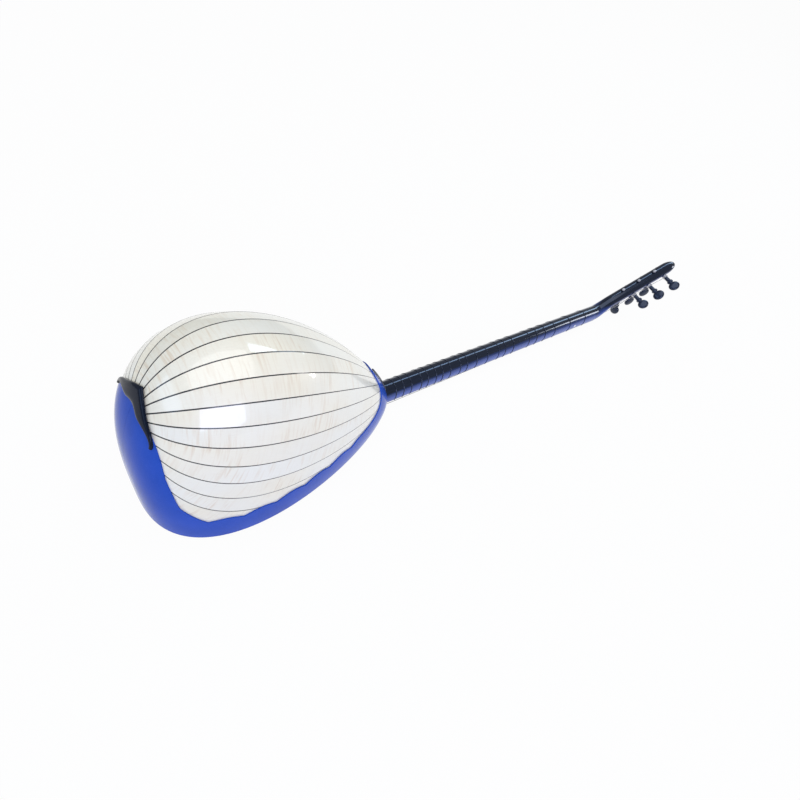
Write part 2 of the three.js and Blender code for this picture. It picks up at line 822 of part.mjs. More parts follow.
function acrossAt(index, spread) {
  const pairSide = index % 2 === 0 ? -0.5 : 0.5;
  return (courses[index] * (spread - pairGap)) / 2 + pairSide * pairGap;
}

// A block across the strings, with a notch for each, drawn in the YZ plane and drawn out along X.
function notchedBlock(x, length, width, foot, top, spread) {
  const shape = new THREE.Shape();
  const lean = (foot - top) / 3;
  shape.moveTo(-width / 2, foot);
  shape.lineTo(-width / 2 + lean, top);
  for (let i = 0; i < courses.length; i++) {
    const y = acrossAt(i, spread);
    shape.lineTo(y - notchWidth / 2, top);
    shape.lineTo(y - notchWidth / 2, top + notchDepth);
    shape.lineTo(y + notchWidth / 2, top + notchDepth);
    shape.lineTo(y + notchWidth / 2, top);
  }
  shape.lineTo(width / 2 - lean, top);
  shape.lineTo(width / 2, foot);
  const geometry = new THREE.ExtrudeGeometry(shape, { depth: length, bevelEnabled: false });
  const basis = new THREE.Matrix4().set(0, 0, 1, x, 1, 0, 0, 0, 0, 1, 0, 0, 0, 0, 0, 1);
  return geometry.applyMatrix4(basis);
}

// A thin wire through given points.
function wire(points, diameter) {
  const up = new THREE.Vector3(0, 0, 1);
  return loft(
    points.map((p, i) => {
      const before = points[Math.max(0, i - 1)];
      const after = points[Math.min(points.length - 1, i + 1)];
      const along = after.clone().sub(before).normalize();
      const across = up.clone().cross(along).normalize();
      const upward = along.clone().cross(across);
      return Array.from({ length: stringSides }, (_, j) => {
        const angle = (2 * Math.PI * j) / stringSides;
        const q = p.clone().addScaledVector(across, (Math.cos(angle) * diameter) / 2);
        return q.addScaledVector(upward, (Math.sin(angle) * diameter) / 2);
      });
    }),
  );
}

const pegs = pegPlaces();
const pegOrder = ["peg_side_1", "peg_side_2", "peg_side_3", "peg_front_1", "peg_front_2", "peg_front_3"];

function stringGeometry(index) {
  const peg = pegs.find((place) => place.name === pegOrder[index]);
  const bridgeY = acrossAt(index, bridgeSpread);
  const nutY = acrossAt(index, nutSpread);
  const at = (x, y, z) => new THREE.Vector3(x, y, z);
  const winding = peg.centre.clone().addScaledVector(peg.axis, peg.halfBody + windingLength / 2 + pegClearance);
  const touching = headAlong.clone().cross(peg.axis).normalize();
  const reach = windingDiameter / 2 + stringDiameter / 2 + seat;
  const path = [
    at(holderX + holderLength + seat, bridgeY, boardFace - holderHeight / 2),
    at(bridgeX - bridgeLength / 2, bridgeY, bridgeLine),
    at(bridgeX + bridgeLength / 2, bridgeY, bridgeLine),
    at(nutX, nutY, nutLine),
    at(nutX + nutLength + seat, nutY, nutLine),
    winding.addScaledVector(touching, reach),
  ];
  return wire(path, stringDiameter);
}

// Pickup, knobs, their controls and the output socket

function pickupGeometry() {
  const shape = new THREE.Shape();
  const halfLength = pickupWidth / 2;
  const halfSpan = pickupSpan / 2;
  const arc = (x, y, start) => shape.absarc(x, y, pickupCorner, start, start + Math.PI / 2, false);
  shape.moveTo(-halfLength + pickupCorner, -halfSpan);
  shape.lineTo(halfLength - pickupCorner, -halfSpan);
  arc(halfLength - pickupCorner, -halfSpan + pickupCorner, -Math.PI / 2);
  arc(halfLength - pickupCorner, halfSpan - pickupCorner, 0);
  arc(-halfLength + pickupCorner, halfSpan - pickupCorner, Math.PI / 2);
  arc(-halfLength + pickupCorner, -halfSpan + pickupCorner, Math.PI);
  const cover = new THREE.ExtrudeGeometry(shape, { depth: pickupHeight, bevelEnabled: false, curveSegments: 4 });
  cover.translate(pickupX, 0, boardFace - seat - pickupHeight);
  const downward = new THREE.Vector3(0, 0, -1);
  const poles = courses.map((_, index) => {
    const y = (acrossAt(index, bridgeSpread) * (nutX - pickupX)) / (nutX - bridgeX);
    const polePlace = new THREE.Vector3(pickupX, y, boardFace - pickupHeight / 2);
    const length = pickupHeight / 2 + seat + poleRise;
    return turned([[poleDiameter / 2, 0], [poleDiameter / 2, length]], pegSides / 2, polePlace, downward);
  });
  return join(cover, ...poles);
}

const below = (x, y, z) => new THREE.Vector3(x, y, z);
const downward = new THREE.Vector3(0, 0, -1);
const knobTop = boardFace - seat;
const shaftEnd = knobHeight - knobWall;

function knobGeometry([x, y]) {
  const bore = shaftDiameter / 2 + shaftClearance;
  const skirt = (knobDiameter - knobTopDiameter) / 2;
  const body = turned(
    [
      [knobDiameter / 2 - skirt / 2, 0],
      [knobDiameter / 2, skirt / 2],
      [knobTopDiameter / 2, knobHeight - skirt],
      [knobTopDiameter / 2 - skirt, knobHeight],
    ],
    knobSides,
    below(x, y, knobTop),
    downward,
  );
  const hole = turned([[bore, -knobHeight], [bore, shaftEnd]], pegSides, below(x, y, knobTop), downward);
  const mark = box(
    x - knobWall / 2,
    x + knobWall / 2,
    y + knobTopDiameter / 4,
    y + knobTopDiameter / 2 + knobWall / 2,
    knobTop - knobHeight - knobWall / 4,
    knobTop - knobHeight + skirt,
  );
  return cut(join(body, mark), hole);
}

function controlGeometry([x, y]) {
  const boardDepth = boardThickness + seat;
  const start = below(x, y, controlHeight);
  const foot = controlHeight + boardDepth - seat;
  return turned(
    [
      [controlDiameter / 2, 0],
      [controlDiameter / 2, controlHeight],
      [bushingDiameter / 2, controlHeight],
      [bushingDiameter / 2, foot],
      [shaftDiameter / 2, foot],
      [shaftDiameter / 2, controlHeight + boardDepth + seat + shaftEnd - shaftClearance],
    ],
    pegSides,
    start,
    downward,
  );
}

const outward = new THREE.Vector3(0, 1, 0);
const socketWall = bowlHalfWidth(socketX) * (1 - (socketZ / bowlHeight(socketX)) ** depthPower) ** (1 / widthPower);
const socketFace = socketWall + bandClearance + bandSkin + seat + socketStand + socketFlangeThickness;

function socketGeometry() {
  const flange = socketFlangeThickness;
  const body = turned(
    [
      [socketBarrelDiameter / 2, -socketBarrelLength],
      [socketBarrelDiameter / 2, -flange],
      [socketFlangeDiameter / 2, -flange],
      [socketFlangeDiameter / 2, -flange / 3],
      [socketFlangeDiameter / 2 - flange / 3, 0],
    ],
    socketSides,
    new THREE.Vector3(socketX, socketFace, socketZ),
    outward,
  );
  const bore = turned(
    [
      [socketBoreDiameter / 2, -socketBoreDepth],
      [socketBoreDiameter / 2, socketBoreDepth],
    ],
    socketSides,
    new THREE.Vector3(socketX, socketFace, socketZ),
    outward,
  );
  return cut(body, bore);
}

const socketHole = turned(
  [
    [socketBarrelDiameter / 2 + seat, -socketBarrelLength],
    [socketBarrelDiameter / 2 + seat, socketBarrelLength],
  ],
  socketSides,
  new THREE.Vector3(socketX, socketFace, socketZ),
  outward,
);

// Materials

const material = (color, roughness, metalness = 0) => new THREE.MeshStandardMaterial({ color, roughness, metalness });
const ivoryWood = material(0xe9dfc8, 0.18);
const spruce = material(0xd9b883, 0.45);
const plainWood = material(0xb98f5f, 0.7);
const blackLacquer = material(0x0d0f14, 0.12);
const blueBand = material(0x3b5fd0, 0.14);
const darkPlastic = material(0x16171b, 0.35);
const steel = material(0xb9bcc2, 0.3, 1);
const bone = material(0xe8e2d0, 0.4);

const root = new THREE.Group();

function add(name, geometry, look) {
  const mesh = new THREE.Mesh(geometry, look);
  mesh.name = name;
  root.add(mesh);
}

for (let i = 0; i < 2 * ribsEachSide; i++)
  add("rib_" + String(i + 1).padStart(2, "0"), ribGeometry(ribsEachSide - 1 - i), ivoryWood);
add("side_rib_near", sideRibGeometry(1), ivoryWood);
add("side_rib_far", cut(sideRibGeometry(-1), socketHole), ivoryWood);
add("purfling", purflingGeometry(), blackLacquer);
add("rim_band_near", bandGeometry(1), blueBand);
add("rim_band_far", cut(bandGeometry(-1), socketHole), blueBand);
add("tail_cap", capGeometry(), blackLacquer);
add("soundboard", boardGeometry(), spruce);
const tailBlockBox = box(
  -tailOverhang,
  tailBlockDepth,
  -tailBlockWidth / 2,
  tailBlockWidth / 2,
  0,
  tailBlockHeight,
);
add("tail_block", common(cavity, tailBlockBox), plainWood);
const neckBlockBox = box(neckBlockStart, neckBlockEnd, -neckBlockWidth / 2, neckBlockWidth / 2, 0, neckBlockHeight);
add("neck_block", common(cavity, neckBlockBox), plainWood);
for (const [name, x] of Object.entries(bracePlaces)) {
  const bar = box(x - braceWidth / 2, x + braceWidth / 2, -2 * widthSwell, 2 * widthSwell, 0, braceHeight);
  add(name, common(cavity, bar), plainWood);
}
add("neck", neckGeometry(), blackLacquer);
add("side_dot", dotSolid(dotDiameter, 0), bone);
add("headstock", cut(headGeometry(), ...pegs.map(pegBore)), blackLacquer);
for (const peg of pegs) add(peg.name, pegGeometry(peg), darkPlastic);
const nutStart = nutX + seat;
add(
  "nut",
  notchedBlock(nutStart, nutLength, neckWidth * neckTaperShare, nutSeat - seat, nutTop, nutSpread),
  bone,
);
add(
  "bridge",
  notchedBlock(bridgeX - bridgeLength / 2, bridgeLength, bridgeWidth, boardFace - seat, bridgeTop, bridgeSpread),
  plainWood,
);
add(
  "string_holder",
  box(
    holderX,
    holderX + holderLength,
    -holderWidth / 2,
    holderWidth / 2,
    boardFace - seat - holderHeight + holderRim,
    boardFace - seat,
  ),
  blackLacquer,
);
courses.forEach((_, index) => add("string_" + (index + 1), stringGeometry(index), steel));
add("pickup", pickupGeometry(), darkPlastic);
for (const [name, place] of Object.entries(knobPlaces)) {
  add(name + "_knob", knobGeometry(place), darkPlastic);
  add(name + "_control", controlGeometry(place), steel);
}
add("output_socket", socketGeometry(), steel);

root.updateMatrixWorld(true);
const extent = new THREE.Box3().setFromObject(root);
root.position.set(-(extent.min.x + extent.max.x) / 2, -(extent.min.y + extent.max.y) / 2, -extent.min.z);

export default root;
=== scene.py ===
import math

import bmesh
import bpy
import numpy as np
from mathutils import Matrix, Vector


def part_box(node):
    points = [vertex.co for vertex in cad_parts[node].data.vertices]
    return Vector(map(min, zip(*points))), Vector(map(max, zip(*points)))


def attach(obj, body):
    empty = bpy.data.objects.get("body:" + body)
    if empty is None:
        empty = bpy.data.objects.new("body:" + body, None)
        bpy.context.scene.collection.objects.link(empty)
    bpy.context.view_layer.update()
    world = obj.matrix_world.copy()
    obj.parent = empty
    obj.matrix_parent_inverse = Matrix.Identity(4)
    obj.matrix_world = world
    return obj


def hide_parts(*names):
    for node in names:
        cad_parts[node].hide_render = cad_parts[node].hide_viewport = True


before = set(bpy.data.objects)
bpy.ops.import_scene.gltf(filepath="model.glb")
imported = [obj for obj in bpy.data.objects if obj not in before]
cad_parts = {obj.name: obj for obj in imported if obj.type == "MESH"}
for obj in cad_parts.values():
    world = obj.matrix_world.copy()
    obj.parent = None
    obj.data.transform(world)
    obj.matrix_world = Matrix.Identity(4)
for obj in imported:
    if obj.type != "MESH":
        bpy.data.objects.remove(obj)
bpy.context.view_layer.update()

# Camera. It stands behind the tail on the near side and looks down on the instrument's back, turned a little
# so that the neck runs to the upper right of an 800 x 800 picture.
CAMERA_PLACE = (-0.56476, -0.29543, 0.58819)
CAMERA_AZIMUTH = math.radians(-50.374)
CAMERA_ELEVATION = math.radians(62.782)
CAMERA_ROLL = math.radians(23.068)
PICTURE_PIXELS = 800
FOCAL_PIXELS = 453.66
MIDDLE_PIXEL = (315.8, 490.36)
SENSOR_WIDTH = 36


def in_scene(name, data):
    """An object of the scene, made from its data."""
    thing = bpy.data.objects.new(name, data)
    bpy.context.scene.collection.objects.link(thing)
    return thing


def stand(thing, place, first, second, third):
    """Puts a thing at a place, with its own three axes along given directions."""
    thing.matrix_world = Matrix.Translation(place) @ Matrix(np.stack([first, second, third], axis=1)).to_4x4()


back = np.array([
    math.sin(CAMERA_AZIMUTH) * math.cos(CAMERA_ELEVATION),
    -math.cos(CAMERA_AZIMUTH) * math.cos(CAMERA_ELEVATION),
    math.sin(CAMERA_ELEVATION),
])
level_right = np.array([math.cos(CAMERA_AZIMUTH), math.sin(CAMERA_AZIMUTH), 0])
level_up = np.cross(back, level_right)
right = math.cos(CAMERA_ROLL) * level_right + math.sin(CAMERA_ROLL) * level_up
camera_data = bpy.data.cameras.new("photo_camera")
camera = in_scene("photo_camera", camera_data)
stand(camera, CAMERA_PLACE, right, np.cross(back, right), back)
camera_data.sensor_width = SENSOR_WIDTH
camera_data.lens = FOCAL_PIXELS * SENSOR_WIDTH / PICTURE_PIXELS
camera_data.shift_x = (PICTURE_PIXELS / 2 - MIDDLE_PIXEL[0]) / PICTURE_PIXELS
camera_data.shift_y = (MIDDLE_PIXEL[1] - PICTURE_PIXELS / 2) / PICTURE_PIXELS
camera_data.clip_start = 0.01
camera_data.clip_end = 50
bpy.context.scene.camera = camera
bpy.context.scene.view_settings.view_transform = "Standard"

# Studio. A wide pale floor, a soft sky and five soft boxes. The floor shows white to the camera, keeps the
# object's shadow, and can't be seen from underneath.
FLOOR_HALF_SIDE = 6.0
FLOOR_DROP = 0.0005
WHITE_SHARE = 0.96
PAPER_FIBRES = 300
PAPER_TONES = (0.66, 0.69)
SKY_STRENGTH = 0.4
SKY_COLOUR = (0.9, 0.94, 1.0, 1)


def new_material(name):
    """An empty node material."""
    material = bpy.data.materials.new(name)
    material.use_nodes = True
    material.node_tree.nodes.clear()
    return material


def add_node(tree, kind, inputs=(), **settings):
    """A shader node with its settings, and with plain values or other nodes' outputs on its sockets."""
    node = tree.nodes.new("ShaderNode" + kind)
    for name, value in settings.items():
        setattr(node, name, value)
    for socket, value in dict(inputs).items():
        if isinstance(value, bpy.types.NodeSocket):
            tree.links.new(value, node.inputs[socket])
        else:
            node.inputs[socket].default_value = value
    return node


def floor_material():
    """White paper: mostly plain white to the camera and to reflections, the rest lit paper that takes a shadow."""
    material = new_material("white_floor")
    tree = material.node_tree
    rays = add_node(tree, "LightPath").outputs
    seen = add_node(tree, "Math", {0: rays["Is Camera Ray"], 1: rays["Is Glossy Ray"]}, operation="MAXIMUM").outputs[0]
    clear = add_node(tree, "Math", {0: seen, 1: rays["Is Transmission Ray"]}, operation="MAXIMUM").outputs[0]
    share = add_node(tree, "Math", {0: clear, 1: WHITE_SHARE}, operation="MULTIPLY").outputs[0]
    fibres = add_node(tree, "TexNoise", {"Scale": PAPER_FIBRES}).outputs[0]
    tone = add_node(tree, "MapRange", {"Value": fibres, "To Min": PAPER_TONES[0], "To Max": PAPER_TONES[1]}).outputs[0]
    paper = add_node(tree, "BsdfDiffuse", {"Color": tone}).outputs[0]
    white = add_node(tree, "Emission").outputs[0]
    lit = add_node(tree, "MixShader", {0: share, 1: paper, 2: white}).outputs[0]
    below = add_node(tree, "BsdfTransparent").outputs[0]
    underside = add_node(tree, "NewGeometry").outputs["Backfacing"]
    either = add_node(tree, "MixShader", {0: underside, 1: lit, 2: below}).outputs[0]
    add_node(tree, "OutputMaterial", {"Surface": either})
    return material


floor_mesh = bpy.data.meshes.new("floor")
floor_corners = [
    (FLOOR_HALF_SIDE * x, FLOOR_HALF_SIDE * y, -FLOOR_DROP) for x, y in ((-1, -1), (1, -1), (1, 1), (-1, 1))
]
floor_mesh.from_pydata(floor_corners, [], [(0, 1, 2, 3)])
floor_mesh.materials.append(floor_material())
floor = in_scene("floor", floor_mesh)

world = bpy.data.worlds.new("studio")
world.use_nodes = True
world.node_tree.nodes.clear()
sky = add_node(world.node_tree, "Background", {"Color": SKY_COLOUR, "Strength": SKY_STRENGTH}).outputs[0]
white_sky = add_node(world.node_tree, "Background", {"Color": (1, 1, 1, 1)}).outputs[0]
seen = add_node(world.node_tree, "LightPath").outputs["Is Camera Ray"]
either_sky = add_node(world.node_tree, "MixShader", {0: seen, 1: sky, 2: white_sky}).outputs[0]
add_node(world.node_tree, "OutputWorld", {"Surface": either_sky})
bpy.context.scene.world = world


def unit(vectors):
    """Vectors made one long."""
    return vectors / np.linalg.norm(vectors, axis=-1, keepdims=True)


def soft_box(name, place, target, long_way, length, width, power, colour):
    """A rectangular soft box at a place, facing a target, its length along a given way, in metres and watts."""
    data = bpy.data.lights.new(name, "AREA")
    data.shape = "RECTANGLE"
    data.size = length
    data.size_y = width
    data.energy = power
    data.color = colour
    facing = unit(np.array(place) - np.array(target))
    along = unit(np.array(long_way) - facing * (facing @ np.array(long_way)))
    stand(in_scene(name, data), place, along, np.cross(facing, along), facing)


soft_box("ceiling_box", (-0.4, 0.1, 2.5), (-0.4, 0.1, 0), (1, 0, 0), 3.2, 2.0, 34, (0.97, 0.98, 1.0))
soft_box("window_box", (1.98, -0.67, 0.8), (-0.37, -0.04, 0.2), (0, 0, 1), 0.6, 0.3, 5, (1.0, 0.99, 0.97))
soft_box("tail_box", (-2.67, 0.32, 1.3), (-0.5, 0, 0.2), (0, 1, 0), 2.2, 0.9, 11, (0.55, 0.75, 1.0))
soft_box("near_box", (-0.8, -2.2, 1.2), (-0.4, 0, 0.15), (1, 0, 0), 2.0, 1.2, 34, (0.65, 0.7, 1.0))
soft_box("ridge_box", (1.87, 0.8, 1.55), (0.12, 0, 0.02), (1.15, -0.3, -0.6), 1.9, 0.3, 10, (0.6, 0.8, 1.0))

# Ribs. Eighteen thin strips of pale flamed wood, bent over a mould and glued edge to edge, with a seam on the
# crown line. Each is nearly flat across, and all run from the tail to the heel under clear gloss lacquer.
BOWL_END = 0.390
TAIL_OVERHANG = 0.0089
WIDTH_SWELL = 0.1083
WIDTH_SHARES = (0.35, 0.71, -0.22)
DEPTH_SWELL = 0.2206
DEPTH_SHARES = (0.37, 0.9, 0)
WIDTH_POWER = 2.37
DEPTH_POWER = 2.14
HEEL_WIDTH = 0.0356
HEEL_DEPTH = 0.0204
BELLY_X = 0.1697
TAIL_POLE_X = 0.0128
HEEL_POLE_X = 0.3836
AXIS_SHARE = 0.42
RIBS_EACH_SIDE = 9
RIB_WIDTH = 0.0233
SIDE_RIB_SHARE = 0.1115
RIB_THICKNESS = 0.003
RIB_ANGLES = (6.5, 171)
RIB_ROWS = 97
RIB_COLUMNS = 9
RIB_CROWN_SHARE = 0.45
SEAM_WIDTH = 0.0013
SEAM_NARROWING = 0.6
PEAK_STEPS = 401
SEAM_STEPS = 721
HALVINGS = 40
END_MARGIN = 1e-7
SLOPE_STEP = 1e-6
POLE_CROWDING = 0.06
GRAIN_STEP = np.array([0.83, 0.47])
NECK_END = 0.9261
ALONG, SIDEWAYS, UPWARD = np.eye(3)

neck_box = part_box("neck")
board_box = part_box("soundboard")
ORIGIN = np.array([
    neck_box[1].x - NECK_END,
    (board_box[0].y + board_box[1].y) / 2,
    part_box("side_rib_near")[0].z,
])


def swell(share, rise, fall, lean):
    """A swelling line along the bowl: share to the power rise, times the rest to the power fall, times e to the
    power lean times share, divided by the line's own peak."""

    def line(place):
        return place**rise * (1 - place)**fall * np.exp(lean * place)

    return line(share) / line(np.linspace(0, 1, PEAK_STEPS)).max()


def bowl_half_width(x):
    """Half the bowl's width at x: its swell, and a straight run out to the neck's half width."""
    share = np.clip((x + TAIL_OVERHANG) / (BOWL_END + TAIL_OVERHANG), 0, 1)
    return WIDTH_SWELL * swell(share, *WIDTH_SHARES) + HEEL_WIDTH / 2 * share


def bowl_height(x):
    """The bowl's height over the rim plane at x: its swell, and a straight run up to the neck's depth."""
    share = np.clip((x + TAIL_OVERHANG) / (BOWL_END + TAIL_OVERHANG), 0, 1)
    return DEPTH_SWELL * swell(share, *DEPTH_SHARES) + HEEL_DEPTH * share


def outside(points):
    """Below 0 inside the bowl and 0 on it: y over half width to one power, plus z over height to another, less 1."""
    x = np.clip(points[..., 0], -TAIL_OVERHANG + END_MARGIN, BOWL_END - END_MARGIN)
    across = (np.abs(points[..., 1]) / bowl_half_width(x))**WIDTH_POWER
    upward = (np.abs(points[..., 2]) / bowl_height(x))**DEPTH_POWER
    beyond = (points[..., 0] <= -TAIL_OVERHANG) | (points[..., 0] >= BOWL_END)
    return np.where(beyond, 1, across + upward - 1)


def bowl_normal(points):
    """The slope of outside() along each axis by small steps, made one long; straight out at the flat heel end."""
    steps = [SLOPE_STEP * direction for direction in (ALONG, SIDEWAYS, UPWARD)]
    normal = unit(np.stack([outside(points + step) - outside(points - step) for step in steps], axis=-1))
    return np.where(points[..., :1] > BOWL_END - 4 * SLOPE_STEP, ALONG, normal)


def between(first, last, share):
    """The value that lies at a share of the way from the first to the last."""
    return first * (1 - share) + last * share


def leave_bowl(start, direction):
    """Where rays from inside leave the bowl, by halving the stretch that holds the crossing again and again."""
    near = np.zeros(direction.shape[:-1])
    far = np.full(direction.shape[:-1], BOWL_END + 2 * TAIL_OVERHANG)
    for _ in range(HALVINGS):
        middle = (near + far) / 2
        inside = outside(start + direction * middle[..., None]) < 0
        near = np.where(inside, middle, near)
        far = np.where(inside, far, middle)
    return start + direction * near[..., None]


def lifted(points, distance):
    """Points moved off the bowl along its normal."""
    return points + bowl_normal(points) * np.asarray(distance)[..., None]


TAIL_POLE = np.array([TAIL_POLE_X, 0, bowl_height(TAIL_POLE_X)])
HEEL_POLE = np.array([HEEL_POLE_X, 0, bowl_height(HEEL_POLE_X)])
POLE_AXIS = unit(HEEL_POLE - TAIL_POLE)
CROWN_AXIS = np.array([-POLE_AXIS[2], 0, POLE_AXIS[0]])
NEAR_AXIS = np.array([0, -1.0, 0])
MIDDLE_POINT = TAIL_POLE + AXIS_SHARE * (HEEL_POLE - TAIL_POLE)


def bowl_point(turn, angle):
    """Places on the bowl by their turn round the pole axis (near side 0, crown 90) and their angle from the tail
    pole, both in degrees: the ray from the middle point in that direction, followed to the surface."""
    turn, angle = np.broadcast_arrays(np.radians(turn), np.radians(angle))
    sideways = np.cos(turn)[..., None] * NEAR_AXIS + np.sin(turn)[..., None] * CROWN_AXIS
    direction = -np.cos(angle)[..., None] * POLE_AXIS + np.sin(angle)[..., None] * sideways
    return leave_bowl(MIDDLE_POINT, direction)


def seam_turn(number):
    """The turn of a seam counted from the crown. Its distance along the belly's section is its number times the rib
    width, growing by the number's square so that the last seam leaves the side rib its share of the section."""
    angle = np.linspace(0, math.pi / 2, SEAM_STEPS)
    y = -bowl_half_width(BELLY_X) * np.sin(angle)**(2 / WIDTH_POWER)
    z = bowl_height(BELLY_X) * np.cos(angle)**(2 / DEPTH_POWER)
    distance = np.concatenate([[0], np.cumsum(np.hypot(np.diff(y), np.diff(z)))])
    growth = (distance[-1] * (1 - SIDE_RIB_SHARE) - RIBS_EACH_SIDE * RIB_WIDTH) / RIBS_EACH_SIDE**2
    wanted = abs(number) * RIB_WIDTH + number**2 * growth
    place = np.array([BELLY_X, np.interp(wanted, distance, y), np.interp(wanted, distance, z)]) - MIDDLE_POINT
    near_turn = math.degrees(math.atan2(place @ CROWN_AXIS, place @ NEAR_AXIS))
    return near_turn if number >= 0 else 180 - near_turn


def pole_angles(first, last, rows):
    """Angles from pole to pole, drawn a little closer together at both ends by a sine."""
    share = np.linspace(0, 1, rows)
    return first + (last - first) * (share - POLE_CROWDING * np.sin(2 * math.pi * share))


def grid_faces(rows, columns, around=False):
    """Quads between neighbouring rows and columns of a grid; around joins the last column to the first."""
    row = np.arange(rows - 1)[:, None]
    column = np.arange(columns if around else columns - 1)[None, :]
    ahead = (column + 1) % columns
    corners = [row * columns + column, row * columns + ahead, (row + 1) * columns + ahead, (row + 1) * columns + column]
    return np.stack(corners, axis=-1).reshape(-1, 4)


def shell(outer, inner):
    """A sheet between two grids of points: both grids, and a wall of quads round their four edges. Here and in
    the other bodies, faces are groups, each an array whose rows are the corners of one face."""
    rows, columns = outer.shape[:2]
    points = np.concatenate([outer.reshape(-1, 3), inner.reshape(-1, 3)])
    number = np.arange(rows * columns).reshape(rows, columns)
    behind = number + rows * columns
    faces = [grid_faces(rows, columns), grid_faces(rows, columns) + rows * columns]
    for edge in ((0, slice(None)), (-1, slice(None)), (slice(None), 0), (slice(None), -1)):
        first, second = number[edge], behind[edge]
        faces.append(np.stack([first[:-1], first[1:], second[1:], second[:-1]], axis=-1))
    return points, faces


def make_piece(name, points, faces, finish, grain=None, sharp=35):
    """Puts one closed body, or several, into a mesh at its place in the frame, with smooth faces, edges sharper
    than an angle in degrees kept sharp, normals outwards, and grain as its UV map in metres."""
    mesh = bpy.data.meshes.new(name)
    mesh.from_pydata((points + ORIGIN).tolist(), [], [face for group in faces for face in group.tolist()])
    if grain is not None:
        corners = np.empty(len(mesh.loops), dtype=int)
        mesh.loops.foreach_get("vertex_index", corners)
        layer = mesh.uv_layers.new(name="grain")
        layer.data.foreach_set("uv", grain[corners].ravel())
    body = bmesh.new()
    body.from_mesh(mesh)
    bmesh.ops.recalc_face_normals(body, faces=body.faces)
    body.to_mesh(mesh)
    body.free()
    mesh.shade_smooth()
    mesh.set_sharp_from_angle(angle=math.radians(sharp))
    mesh.materials.append(finish.material)
    return in_scene(name, mesh)


class Finish:
    """A principled finish in the making, with its plain values on the shader's own sockets. Patterns lie on the
    object's own coordinates, or on a UV map, and each layer lays a colour over the last one by a pattern."""

    def __init__(
        self, name, colour, roughness, coat=0.0, coat_roughness=0.03, metallic=0.0, tint=(1, 1, 1), level=0.5,
        uv_map=None,
    ):
        self.material = new_material(name)
        self.tree = self.material.node_tree
        self.colour = (*colour, 1)
        self.shader = add_node(self.tree, "BsdfPrincipled", {
            "Roughness": roughness, "Coat Weight": coat, "Coat Roughness": coat_roughness, "Metallic": metallic,
            "Specular Tint": (*tint, 1), "Specular IOR Level": level,
        })
        add_node(self.tree, "OutputMaterial", {"Surface": self.shader.outputs["BSDF"]})
        if uv_map:
            self.place = add_node(self.tree, "UVMap", uv_map=uv_map).outputs["UV"]
        else:
            self.place = add_node(self.tree, "TexCoord").outputs["Object"]

    def noise(self, stretch, detail=3.0, distortion=0.0):
        """A noise pattern with its own cycles per metre along each axis."""
        stretched = add_node(self.tree, "Mapping", {"Vector": self.place, "Scale": stretch}).outputs["Vector"]
        inputs = {"Vector": stretched, "Scale": 1, "Detail": detail, "Distortion": distortion}
        return add_node(self.tree, "TexNoise", inputs).outputs["Fac"]

    def ranged(self, value, low, high, to_low=0.0, to_high=1.0):
        """A value moved from one range to another and held inside it."""
        inputs = {"Value": value, "From Min": low, "From Max": high, "To Min": to_low, "To Max": to_high}
        return add_node(self.tree, "MapRange", inputs).outputs["Result"]

    def product(self, first, second):
        """Two values multiplied."""
        return add_node(self.tree, "Math", {0: first, 1: second}, operation="MULTIPLY").outputs["Value"]

    def link(self, value, socket):
        """Puts a value on one of the shader's sockets."""
        self.tree.links.new(value, self.shader.inputs[socket])

    def lay(self, share, colour):
        """Lays a colour over the last one by a share."""
        inputs = {"Factor": share, "A": self.colour, "B": (*colour, 1)}
        self.colour = add_node(self.tree, "Mix", inputs, data_type="RGBA").outputs["Result"]
        self.link(self.colour, "Base Color")

    def layer(self, pattern, low, high, colour, share=1.0):
        """Lays a colour over the last one where a pattern rises from low to high, up to a share."""
        self.lay(self.ranged(pattern, low, high, 0, share), colour)

    def bump(self, height, depth):
        """A bump of a given depth in metres on the shader's normal."""
        self.link(add_node(self.tree, "Bump", {"Height": height, "Distance": depth}).outputs["Normal"], "Normal")


# Pale wood with flame: bands across the strip, in patches, over a slow change of tone and under a fine grain
ivory_wood = Finish("flamed_ivory_wood", (0.85, 0.83, 0.73), 0.32, coat=1.0, coat_roughness=0.035, uv_map="grain")
fine_grain = ivory_wood.noise((60, 2200, 1), 2)
flame = ivory_wood.ranged(ivory_wood.noise((260, 26, 1), 2.5, 0.6), 0.5, 0.72)
patches = ivory_wood.ranged(ivory_wood.noise((14, 18, 1), 1.5), 0.42, 0.68, 0.15, 0.85)
ivory_wood.layer(ivory_wood.noise((7, 9, 1), 2), 0.35, 0.68, (0.85, 0.79, 0.63))
ivory_wood.lay(ivory_wood.product(flame, patches), (0.71, 0.58, 0.42))
ivory_wood.layer(fine_grain, 0.45, 0.8, (0.6, 0.5, 0.38), 0.12)
ivory_wood.bump(fine_grain, 0.00001)


def seam_width(angles):
    """The seam's width, which narrows from the tail to the heel as the ribs do."""
    return SEAM_WIDTH * (1 + SEAM_NARROWING / 3 - SEAM_NARROWING * np.asarray(angles) / 180)


def rib_grids(number, rows, columns):
    """A rib between two seams: straight across from seam to seam, raised at its middle by a share of the
    surface's own rise, and the same again one thickness deeper."""
    angles = pole_angles(*RIB_ANGLES, rows)
    turns = seam_turn(number), seam_turn(number + 1)
    left, right = bowl_point(turns[0], angles), bowl_point(turns[1], angles)
    crown = bowl_point(sum(turns) / 2, angles)
    inset = unit(right - left) * seam_width(angles)[:, None] / 2
    left, right = left + inset, right - inset
    share = np.linspace(0, 1, columns)[None, :, None]
    rise = (crown - (left + right) / 2) * RIB_CROWN_SHARE
    outer = between(left[:, None], right[:, None], share) + rise[:, None] * 4 * share * (1 - share)
    return outer, outer - bowl_normal(crown)[:, None] * RIB_THICKNESS


